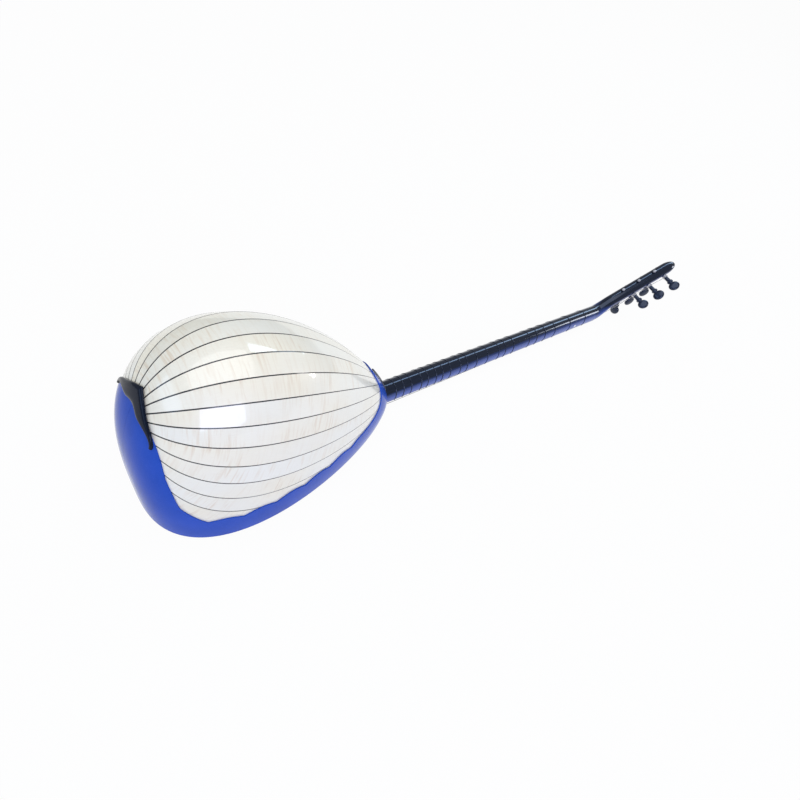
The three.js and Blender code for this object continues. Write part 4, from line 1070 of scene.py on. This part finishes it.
def peg_shaft_profile(half_body, tip):
    """Radius and distance: the shaft from inside the pale tip to the collar, which swells as half a circle."""
    start, foot = -half_body - tip + PEG_PALE_LENGTH, PEG_REACH - PEG_HEAD / 2
    straight = np.linspace(start, foot - PEG_COLLAR_LENGTH, PEG_SHAFT_ROWS)
    root = peg_radius(foot, half_body, tip)
    angle = np.linspace(0, math.pi, PEG_SHAFT_ROWS - 1)[1:-1]
    collar = between(root, PEG_COLLAR / 2, np.sqrt(np.sin(angle)))
    collar_distance = foot - PEG_COLLAR_LENGTH / 2 * (1 + np.cos(angle))
    radius = np.concatenate([peg_radius(straight, half_body, tip), collar, [root, root * PEG_CORE_SHARE]])
    distance = np.concatenate([straight, collar_distance, [foot + PEG_CLEARANCE, foot + PEG_HEAD / 4]])
    return np.stack([radius, distance], axis=-1)


def peg_tip_profile(half_body, tip):
    """Radius and distance: the thin end, rounded off as a flat quarter ellipse."""
    end = -half_body - tip
    base = end + PEG_PALE_LENGTH
    thin = peg_radius(end, half_body, tip)
    angle = np.linspace(PEG_TIP_START, math.pi / 2, PEG_TIP_ROWS)
    radius = np.append(thin * np.sin(angle), peg_radius(base, half_body, tip))
    return np.stack([radius, np.append(end + thin / 2 * (1 - np.cos(angle)), base)], axis=-1)


def peg_head_profile():
    """Radius and distance across the round head: two domes on a full round edge, the sine and cosine of an angle
    each to a power."""
    angle = np.linspace(PEG_HEAD_START, math.pi - PEG_HEAD_START, PEG_HEAD_ROWS)
    radius = PEG_HEAD / 2 * np.sin(angle)**PEG_HEAD_POWERS[0]
    return np.stack([radius, -PEG_HEAD_THICKNESS / 2 * powered(np.cos(angle), PEG_HEAD_POWERS[1])], axis=-1)


def bone_finish(name, light, dark):
    """Polished bone or horn: a slow change between two tones, with short darker pores."""
    finish = Finish(name, light, 0.3, coat=0.4, coat_roughness=0.1)
    pores = finish.noise((1400, 260, 900), 2)
    finish.layer(finish.noise((60, 60, 60)), 0.3, 0.7, dark)
    finish.layer(pores, 0.6, 0.75, (0.55, 0.47, 0.36), 0.5)
    finish.bump(pores, 0.00002)
    return finish


def steel_finish(name, winds):
    """Bright steel wire with a bump of fine turns along the instrument, given as turns per metre."""
    finish = Finish(name, (0.72, 0.72, 0.74), 0.26, metallic=1.0)
    inputs = {"Vector": finish.place, "Scale": winds / 20 * math.pi, "Distortion": 0.2}
    finish.layer(finish.noise((120, 500, 500), 2), 0.35, 0.7, (0.55, 0.55, 0.58))
    finish.bump(add_node(finish.tree, "TexWave", inputs).outputs["Fac"], 0.00004)
    return finish


def peg_place(kind, number):
    """A peg's middle in the headstock, its axis towards the head, and half the wood that it passes through."""
    if kind == "front":
        axis = -(HEAD_UP * math.cos(FRONT_PEG_LEAN) + SIDEWAYS * math.sin(FRONT_PEG_LEAN))
        return HEAD_ROOT + HEAD_ALONG * (FIRST_PEG + number * PEG_PITCH), axis, HEAD_THICKNESS / 2
    return HEAD_ROOT + HEAD_ALONG * (FIRST_PEG + (number + 0.5) * PEG_PITCH), -SIDEWAYS, HEAD_WIDTH / 2


def rotated(vector, axis, angle):
    """A vector turned about an axis that is square to it."""
    return vector * math.cos(angle) + np.cross(axis, vector) * math.sin(angle)


def winding_path(centre, axis, half_body):
    """A helix of touching turns round the shaft, from the wood outwards."""
    first = unit(np.cross(axis, HEAD_ALONG))
    second = np.cross(axis, first)
    turn = np.linspace(0, WINDING_TURNS - 1, (WINDING_TURNS - 1) * WINDING_SIDES + 1)[:, None]
    radius = (WINDING - WINDING_LINE) / 2
    along = half_body + 2 * PEG_CLEARANCE + WINDING_LINE / 2 + WINDING_LINE * turn
    return centre + axis * along + radius * (np.cos(2 * math.pi * turn) * first + np.sin(2 * math.pi * turn) * second)


# Black turned wood: dark with fine rings of wear, satin, a little worn where the fingers hold it
# The blue specular tint is a painted reflection colour.
peg_wood = Finish("black_turned_wood", (0.006, 0.009, 0.022), 0.25, coat=0.2, coat_roughness=0.08, tint=BLUE_REFLECTION_TINT)
peg_grain = peg_wood.noise((400, 400, 120))
wear = peg_wood.noise((90, 90, 90))
peg_wood.layer(peg_grain, 0.4, 0.7, (0.012, 0.016, 0.034))
peg_wood.layer(wear, 0.55, 0.75, (0.03, 0.032, 0.05), 0.4)
peg_wood.link(peg_wood.ranged(wear, 0.3, 0.7, 0.18, 0.34), "Roughness")
peg_wood.bump(peg_grain, 0.00002)
bone = bone_finish("polished_bone", (0.72, 0.71, 0.68), (0.66, 0.63, 0.58))
horn = bone_finish("grey_horn", (0.42, 0.42, 0.45), (0.3, 0.29, 0.3))
winding_steel = steel_finish("string_winding_steel", 900)
for kind in ("front", "side"):
    for number in range(PEGS_EACH_WAY):
        node = f"peg_{kind}_{number + 1}"
        centre, axis, half_body = peg_place(kind, number)
        disc_axis = rotated(unit(np.cross(HEAD_ALONG, axis)), axis, math.radians(PEG_TURNS[node]))
        shaft_profile = peg_shaft_profile(half_body, PEG_TIPS[kind])
        tip_profile = peg_tip_profile(half_body, PEG_TIPS[kind])
        shaft = make_piece(node + "_shaft", *turned(shaft_profile, centre, axis), peg_wood)
        tip = make_piece(node + "_tip", *turned(tip_profile, centre, axis), horn)
        head_body = turned(peg_head_profile(), centre + axis * PEG_REACH, disc_axis)
        head = make_piece(node + "_head", *head_body, peg_wood, sharp=50)
        winding_body = wire(winding_path(centre, axis, half_body), WINDING_LINE / 2, axis)
        winding = make_piece(node + "_winding", *winding_body, winding_steel)
        finishes = ((shaft, "dark_wood"), (head, "dark_wood"), (tip, "bone_white"), (winding, "steel"))
        for piece, finish in finishes:
            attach(piece, node)
            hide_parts(node)

# Nut and bridge. The nut is a strip of bone at the neck's end, and the bridge a low bar of brown hardwood that
# stands loose on the soundboard. Each has a notch for every string.
NUT_RISE = 0.003
BRIDGE_LENGTH = 0.008
BRIDGE_WIDTH = 0.062
BRIDGE_HEIGHT = 0.0103
BRIDGE_SPREAD = 0.040
NUT_SPREAD = 0.019
PAIR_GAP = 0.003
NOTCH_WIDTH = 0.0016
NOTCH_DEPTH = 0.0014
NOTCH_STEPS = 7
BLOCK_EDGE = 0.0003
BEVELLED_ANGLE = math.radians(50)
COURSES = np.array([-1, -1, 0, 0, 1, 1])
BRIDGE_TOP = BOARD_FACE - BRIDGE_HEIGHT
NUT_TOP = BOARD_FACE - NUT_RISE
NUT_SEAT = BOARD_FACE + NUT_SINK


def across_at(index, spread):
    """A string's place across the neck: its pair's share of the spread, and half the pair's gap to either side."""
    return COURSES[index] * (spread - PAIR_GAP) / 2 + (index % 2 - 0.5) * PAIR_GAP


def ease_edges(piece, width, segments):
    """Rounds a piece's sharp edges off by a bevel."""
    bevel = piece.modifiers.new("eased_edges", "BEVEL")
    bevel.width = width
    bevel.segments = segments
    bevel.limit_method = "ANGLE"
    bevel.angle_limit = BEVELLED_ANGLE


def notched_block(name, x, length, width, foot, top, spread, finish):
    """A block across the strings: cheeks that lean in, a top with a rounded notch for each string, drawn out
    along the neck, with all its edges eased. Each notch is the cosine and sine of half a turn."""
    lean = (foot - top) / 3
    angle = np.linspace(0, math.pi, NOTCH_STEPS)
    middles = across_at(np.arange(len(COURSES)), spread)[:, None]
    y = (middles - NOTCH_WIDTH / 2 * np.cos(angle)).ravel()
    z = (top + NOTCH_DEPTH * np.sin(angle) + 0 * middles).ravel()
    y = np.concatenate([[-width / 2, -width / 2 + lean], y, [width / 2 - lean, width / 2]])
    z = np.concatenate([[foot, top], z, [top, foot]])
    points = np.concatenate([np.stack([end + 0 * y, y, z], axis=-1) for end in (x, x + length)])
    faces = [grid_faces(2, len(y), around=True), np.arange(len(points)).reshape(2, -1)]
    piece = make_piece(name, points, faces, finish)
    ease_edges(piece, BLOCK_EDGE, 2)
    return piece


# Bare brown hardwood: dark open grain across the instrument on a reddish ground, dry and satin
bridge_wood = Finish("brown_hardwood", (0.26, 0.13, 0.065), 0.55)
bridge_grain = bridge_wood.noise((900, 45, 700), 3, 0.3)
bridge_wood.layer(bridge_wood.noise((40, 12, 40)), 0.3, 0.7, (0.18, 0.085, 0.045))
bridge_wood.layer(bridge_grain, 0.5, 0.7, (0.075, 0.036, 0.022))
bridge_wood.bump(bridge_grain, 0.00006)
nut = notched_block(
    "nut_bone", NUT_X + SEAT, NUT_LENGTH, NECK_WIDTH * NECK_TAPER_SHARE, NUT_SEAT - SEAT, NUT_TOP, NUT_SPREAD, bone
)
bridge = notched_block(
    "bridge_bar", BRIDGE_X - BRIDGE_LENGTH / 2, BRIDGE_LENGTH, BRIDGE_WIDTH, BOARD_FACE - SEAT, BRIDGE_TOP,
    BRIDGE_SPREAD, bridge_wood,
)
for piece, node, finish in ((nut, "nut", "bone_white"), (bridge, "bridge", "plain_wood")):
    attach(piece, "instrument")
    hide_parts(node)

# Strings. Six steel strings in three pairs, one of each pair wound, looped on the holder, over the bridge and the
# nut, and tight on their pegs.
STRING_DIAMETERS = (0.0009, 0.0006)
HOLDER_X = 0.002
HOLDER_LENGTH = 0.010
HOLDER_WIDTH = 0.062
HOLDER_HEIGHT = 0.005
HOLDER_RIM = 0.0008
STRING_PEGS = (("side", 0), ("side", 1), ("side", 2), ("front", 0), ("front", 1), ("front", 2))


def string_path(index):
    """From the holder to the bridge, the nut and the winding on the string's own peg, taut between them."""
    bridge_y, nut_y = across_at(index, BRIDGE_SPREAD), across_at(index, NUT_SPREAD)
    into_notch = NOTCH_DEPTH - SEAT - STRING_DIAMETERS[0] / 2
    bridge_z, nut_z = BRIDGE_TOP + into_notch, NUT_TOP + into_notch
    centre, axis, half_body = peg_place(*STRING_PEGS[index])
    touching = unit(np.cross(HEAD_ALONG, axis))
    winding = centre + axis * (half_body + WINDING_LENGTH / 2 + PEG_CLEARANCE)
    return np.array([
        (HOLDER_X + HOLDER_LENGTH + SEAT, bridge_y, BOARD_FACE - HOLDER_HEIGHT / 2),
        (BRIDGE_X - BRIDGE_LENGTH / 2, bridge_y, bridge_z),
        (BRIDGE_X + BRIDGE_LENGTH / 2, bridge_y, bridge_z),
        (NUT_X, nut_y, nut_z),
        (NUT_X + NUT_LENGTH + SEAT, nut_y, nut_z),
        winding + touching * (WINDING / 2),
    ])


wound_steel = steel_finish("wound_string_steel", 2200)
plain_steel = steel_finish("plain_string_steel", 40)
for index in range(len(COURSES)):
    diameter = STRING_DIAMETERS[index % 2]
    steel = wound_steel if index % 2 == 0 else plain_steel
    wire_body = wire(string_path(index), diameter / 2, UPWARD, sides=12)
    string = make_piece(f"string_{index + 1}_wire", *wire_body, steel)
    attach(string, "instrument")
    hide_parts(f"string_{index + 1}")

# String holder. A narrow bar of black lacquered wood at the soundboard's tail end, screwed through to the tail
# block, which takes the looped ends of all six strings.
HOLDER_EDGE = 0.0006


def bar_piece(name, low, high, edge, finish):
    """A bar between two corners with all its edges rounded by a bevel."""
    corners = np.array([[x, y, z] for x in (low[0], high[0]) for y in (low[1], high[1]) for z in (low[2], high[2])])
    faces = np.array([[0, 1, 3, 2], [4, 6, 7, 5], [0, 4, 5, 1], [2, 3, 7, 6], [0, 2, 6, 4], [1, 5, 7, 3]])
    piece = make_piece(name, corners, [faces], finish)
    ease_edges(piece, edge, 3)
    return piece


holder = bar_piece(
    "string_holder_bar", (HOLDER_X, -HOLDER_WIDTH / 2, BOARD_FACE - SEAT - HOLDER_HEIGHT + HOLDER_RIM),
    (HOLDER_X + HOLDER_LENGTH, HOLDER_WIDTH / 2, BOARD_FACE - SEAT), HOLDER_EDGE, lacquer,
)
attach(holder, "instrument")
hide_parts("string_holder")

# Pickup. A slim magnetic pickup in a black moulded cover, fixed to the soundboard under the strings, with a steel
# pole under each of them.
PICKUP_X = 0.262
PICKUP_WIDTH = 0.019
PICKUP_SPAN = 0.076
PICKUP_HEIGHT = 0.0044
PICKUP_CORNER = 0.006
PICKUP_EDGE = 0.0006
PICKUP_CORNER_ROWS = 9
PICKUP_EDGE_ROWS = 5
POLE_DIAMETER = 0.005
POLE_RISE = 0.0006
POLE_PROFILE = np.array([(1, 0), (1, 0.8), (2 / 2.3, 1), (0.25, 1)])


def pickup_rings():
    """A rectangle with round corners at four heights, drawn in at the top to round the edge off."""
    angle = np.linspace(0, math.pi / 2, PICKUP_CORNER_ROWS)
    quarters = []
    for quarter, (sign_x, sign_y) in enumerate(((1, 1), (-1, 1), (-1, -1), (1, -1))):
        turn = angle + quarter * math.pi / 2
        x = sign_x * (PICKUP_WIDTH / 2 - PICKUP_CORNER) + PICKUP_CORNER * np.cos(turn)
        y = sign_y * (PICKUP_SPAN / 2 - PICKUP_CORNER) + PICKUP_CORNER * np.sin(turn)
        quarters.append(np.stack([x, y, 0 * x], axis=-1))
    outline = np.concatenate(quarters)
    rings = []
    for bend in np.linspace(0, math.pi / 2, PICKUP_EDGE_ROWS):
        inset = PICKUP_EDGE * (1 - math.cos(bend))
        scale = np.array([1 - 2 * inset / PICKUP_WIDTH, 1 - 2 * inset / PICKUP_SPAN, 1])
        height = BOARD_FACE - SEAT - PICKUP_HEIGHT + PICKUP_EDGE * (1 - math.sin(bend))
        rings.append(outline * scale + [PICKUP_X, 0, height])
    foot = outline + [PICKUP_X, 0, BOARD_FACE - SEAT]
    return np.array([foot, *rings])


# Black moulded plastic: a fine even texture with a dull gloss and a few paler rubs
plastic = Finish("moulded_black_plastic", (0.016, 0.016, 0.018), 0.42)
plastic.layer(plastic.noise((70, 70, 70), 4), 0.55, 0.75, (0.035, 0.035, 0.038), 0.6)
plastic.bump(plastic.noise((2200, 2200, 2200), 1), 0.00002)
pickup = make_piece("pickup_cover", *tube(pickup_rings()), plastic)
pole_bodies = []
for index in range(len(COURSES)):
    pole_y = across_at(index, BRIDGE_SPREAD) * (NUT_X - PICKUP_X) / (NUT_X - BRIDGE_X)
    pole_base = (PICKUP_X, pole_y, BOARD_FACE - PICKUP_HEIGHT)
    pole_bodies.append(turned(POLE_PROFILE * [POLE_DIAMETER / 2, SEAT + POLE_RISE], pole_base, (0, 0, -1), sides=32))
poles = make_piece("pickup_poles", *gathered(pole_bodies), plain_steel)
for piece, finish in ((pickup, "dark_plastic"), (poles, "steel")):
    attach(piece, "instrument")
    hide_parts("pickup")

# Volume and tone knobs. Two black plastic knobs with a grooved skirt and a white pointer line, pushed on the
# controls' shafts on the soundboard's near side.
KNOB_PLACES = {"volume": (0.112, -0.062), "tone": (0.150, -0.066)}
KNOB_DIAMETER = 0.017
KNOB_TOP_DIAMETER = 0.015
KNOB_HEIGHT = 0.0066
KNOB_WALL = 0.0014
KNOB_GROOVES = 30
KNOB_GROOVE_DEPTH = 0.00025
KNOB_SIDES = 240


def knob_rings(place):
    """Rings from the skirt to the top, the middle ones waved in and out to make the grooves."""
    skirt = (KNOB_DIAMETER - KNOB_TOP_DIAMETER) / 2
    profile = np.array([
        [KNOB_DIAMETER / 2 - skirt / 2, 0, 0], [KNOB_DIAMETER / 2, skirt / 2, 0], [KNOB_DIAMETER / 2, skirt, 0],
        [KNOB_TOP_DIAMETER / 2 + skirt / 3, skirt * 1.5, 1], [KNOB_TOP_DIAMETER / 2, KNOB_HEIGHT - skirt, 1],
        [KNOB_TOP_DIAMETER / 2 - skirt / 4, KNOB_HEIGHT - skirt / 4, 0],
        [KNOB_TOP_DIAMETER / 2 - skirt, KNOB_HEIGHT, 0],
        [KNOB_TOP_DIAMETER / 4, KNOB_HEIGHT - KNOB_GROOVE_DEPTH, 0],
    ])
    angle = circle(KNOB_SIDES)[None, :]
    waves = KNOB_GROOVE_DEPTH * (np.cos(KNOB_GROOVES * angle) - 1) / 2
    radius = profile[:, :1] + profile[:, 2:] * waves
    x, y = place[0] + radius * np.cos(angle), place[1] + radius * np.sin(angle)
    return np.stack([x, y, BOARD_FACE - SEAT - profile[:, 1:2] + 0 * x], axis=-1)


# White paint in the pointer line, a little greyed by handling
paint = Finish("white_pointer_paint", (0.82, 0.82, 0.8), 0.5)
paint.layer(paint.noise((500, 500, 500)), 0.4, 0.75, (0.6, 0.59, 0.56))
for knob_name, place in KNOB_PLACES.items():
    knob = make_piece(knob_name + "_knob_cap", *tube(knob_rings(place)), plastic, sharp=50)
    knob_top = BOARD_FACE - SEAT - KNOB_HEIGHT
    pointer = bar_piece(
        knob_name + "_knob_pointer",
        (place[0] - KNOB_WALL / 3, place[1] + KNOB_TOP_DIAMETER / 6, knob_top - KNOB_WALL / 8),
        (place[0] + KNOB_WALL / 3, place[1] + KNOB_TOP_DIAMETER / 2 - KNOB_WALL / 2, knob_top + KNOB_WALL / 2),
        KNOB_WALL / 12, paint,
    )
    for piece, finish in ((knob, "dark_plastic"), (pointer, "bone_white")):
        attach(piece, knob_name + "_knob")
        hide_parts(knob_name + "_knob")

# Output socket. A plated jack socket through the far side's band and rib: a long threaded barrel inside, and
# outside a washer and a six sided nut round the bore.
SOCKET_X = 0.160
SOCKET_Z = 0.017
SOCKET_FLANGE_DIAMETER = 0.020
SOCKET_FLANGE_THICKNESS = 0.0024
SOCKET_STAND = 0.0008
SOCKET_BARREL_DIAMETER = 0.011
SOCKET_BARREL_LENGTH = 0.024
SOCKET_BORE_DIAMETER = 0.0066
SOCKET_BORE_DEPTH = 0.020
SOCKET_NUT_WIDTH = 0.0155
SOCKET_NUT_CORNER = 1.04
SOCKET_NUT_SIDES = 72
SOCKET_CHAMFER = 0.0004
SOCKET_BARREL_CHAMFER = 0.001
SOCKET_THREAD_START = 0.008
SOCKET_THREAD_PITCH = 0.0005
SOCKET_THREAD_DEPTH = 0.0003
SOCKET_THREADS = 24
SOCKET_CUT_REACH = 0.01
socket_wall = bowl_half_width(SOCKET_X) * (1 - (SOCKET_Z / bowl_height(SOCKET_X))**DEPTH_POWER)**(1 / WIDTH_POWER)
SOCKET_FACE = np.array([
    SOCKET_X, float(socket_wall) + BAND_CLEARANCE + BAND_SKIN + SEAT + SOCKET_STAND + SOCKET_FLANGE_THICKNESS, SOCKET_Z,
])


def cut_hole(piece, finish, points, faces):
    """Cuts a hole through a piece with another closed body, and keeps the result as the piece's mesh."""
    cutter = make_piece(piece.name + "_cutter", points, faces, finish)
    modifier = piece.modifiers.new("hole", "BOOLEAN")
    modifier.operation = "DIFFERENCE"
    modifier.solver = "EXACT"
    modifier.object = cutter
    cut_mesh = bpy.data.meshes.new_from_object(piece.evaluated_get(bpy.context.evaluated_depsgraph_get()))
    piece.modifiers.clear()
    piece.data = cut_mesh
    bpy.data.objects.remove(cutter)


def hexagon_nut():
    """A low six sided nut with a chamfered face and a round hole: one closed ring of five corners a section."""
    angle = circle(SOCKET_NUT_SIDES)
    to_side = (angle + math.pi / 6) % (math.pi / 3) - math.pi / 6
    flat = SOCKET_NUT_WIDTH / 2 / np.cos(to_side)
    chamfered = np.minimum(flat, SOCKET_NUT_WIDTH / 2 * SOCKET_NUT_CORNER)
    bore = np.full(angle.shape, SOCKET_BORE_DIAMETER / 2 + SOCKET_CHAMFER)
    foot, shoulder = -SOCKET_FLANGE_THICKNESS / 2, -SOCKET_FLANGE_THICKNESS / 6
    radius = np.array([bore, flat, flat, chamfered, bore])
    height = np.array([[foot], [foot], [shoulder], [0], [0]]) + 0 * angle
    return ring_tube(np.stack([radius * np.cos(angle), height, radius * np.sin(angle)], axis=-1) + SOCKET_FACE)


# Bright plating: cool grey metal with faint scratches in the roughness
plating = Finish("bright_plating", (0.74, 0.74, 0.76), 0.2, metallic=1.0)
scratches = plating.noise((3000, 200, 200))
plating.layer(scratches, 0.3, 0.7, (0.6, 0.6, 0.63))
plating.link(plating.ranged(scratches, 0.3, 0.75, 0.12, 0.3), "Roughness")
barrel_radius, bore_radius = SOCKET_BARREL_DIAMETER / 2, SOCKET_BORE_DIAMETER / 2
hole_profile = [(barrel_radius + SEAT, -SOCKET_BARREL_LENGTH), (barrel_radius + SEAT, SOCKET_CUT_REACH)]
for pierced, finish in ((side_ribs["far"], ivory_wood), (bands["far"], band_blue)):
    cut_hole(pierced, finish, *turned(hole_profile, SOCKET_FACE, (0, 1, 0), sides=64))
half_turn = np.arange(2 * SOCKET_THREADS)
thread_radius = barrel_radius - SOCKET_THREAD_DEPTH * (half_turn % 2)
thread_place = -SOCKET_BARREL_LENGTH + SOCKET_THREAD_START + SOCKET_THREAD_PITCH / 2 * half_turn
barrel_profile = [
    (barrel_radius - SOCKET_BARREL_CHAMFER, -SOCKET_BARREL_LENGTH),
    (barrel_radius, -SOCKET_BARREL_LENGTH + SOCKET_BARREL_CHAMFER), *np.stack([thread_radius, thread_place], axis=-1),
    (barrel_radius, -SOCKET_FLANGE_THICKNESS), (SOCKET_FLANGE_DIAMETER / 2 - SEAT, -SOCKET_FLANGE_THICKNESS),
    (SOCKET_FLANGE_DIAMETER / 2, -SOCKET_FLANGE_THICKNESS + SEAT),
    (SOCKET_FLANGE_DIAMETER / 2, -SOCKET_FLANGE_THICKNESS / 2 - SEAT),
    (SOCKET_FLANGE_DIAMETER / 2 - SEAT, -SOCKET_FLANGE_THICKNESS / 2),
    (bore_radius + 2 * SOCKET_CHAMFER, -SOCKET_FLANGE_THICKNESS / 2), (bore_radius + 2 * SOCKET_CHAMFER, -SEAT / 2),
    (bore_radius + SOCKET_CHAMFER, 0), (bore_radius, -SOCKET_CHAMFER), (bore_radius, -SOCKET_BORE_DEPTH),
]
socket = make_piece("output_socket_barrel", *turned(barrel_profile, SOCKET_FACE, (0, 1, 0), sides=64), plating)
socket_nut = make_piece("output_socket_nut", *hexagon_nut(), plating)
for piece in (socket, socket_nut):
    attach(piece, "instrument")
    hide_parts("output_socket")

# Blocks, braces and controls. Inside the bowl, and out of sight: the tail and neck blocks and two braces of bare
# wood, and the two controls behind the knobs. They keep the frame's own shapes.

# Bare pale brown wood: soft grain along the instrument and a rough, dull face
block_wood = Finish("bare_block_wood", (0.55, 0.38, 0.22), 0.75)
block_grain = block_wood.noise((12, 260, 260), 3, 0.2)
block_wood.layer(block_grain, 0.35, 0.7, (0.4, 0.25, 0.13))
block_wood.bump(block_grain, 0.0001)
inner_finishes = {
    "tail_block": block_wood, "neck_block": block_wood, "brace_lower": block_wood, "brace_upper": block_wood,
    "volume_control": plating, "tone_control": plating,
}
for node, finish in inner_finishes.items():
    for material_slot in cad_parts[node].material_slots:
        material_slot.material = finish.material
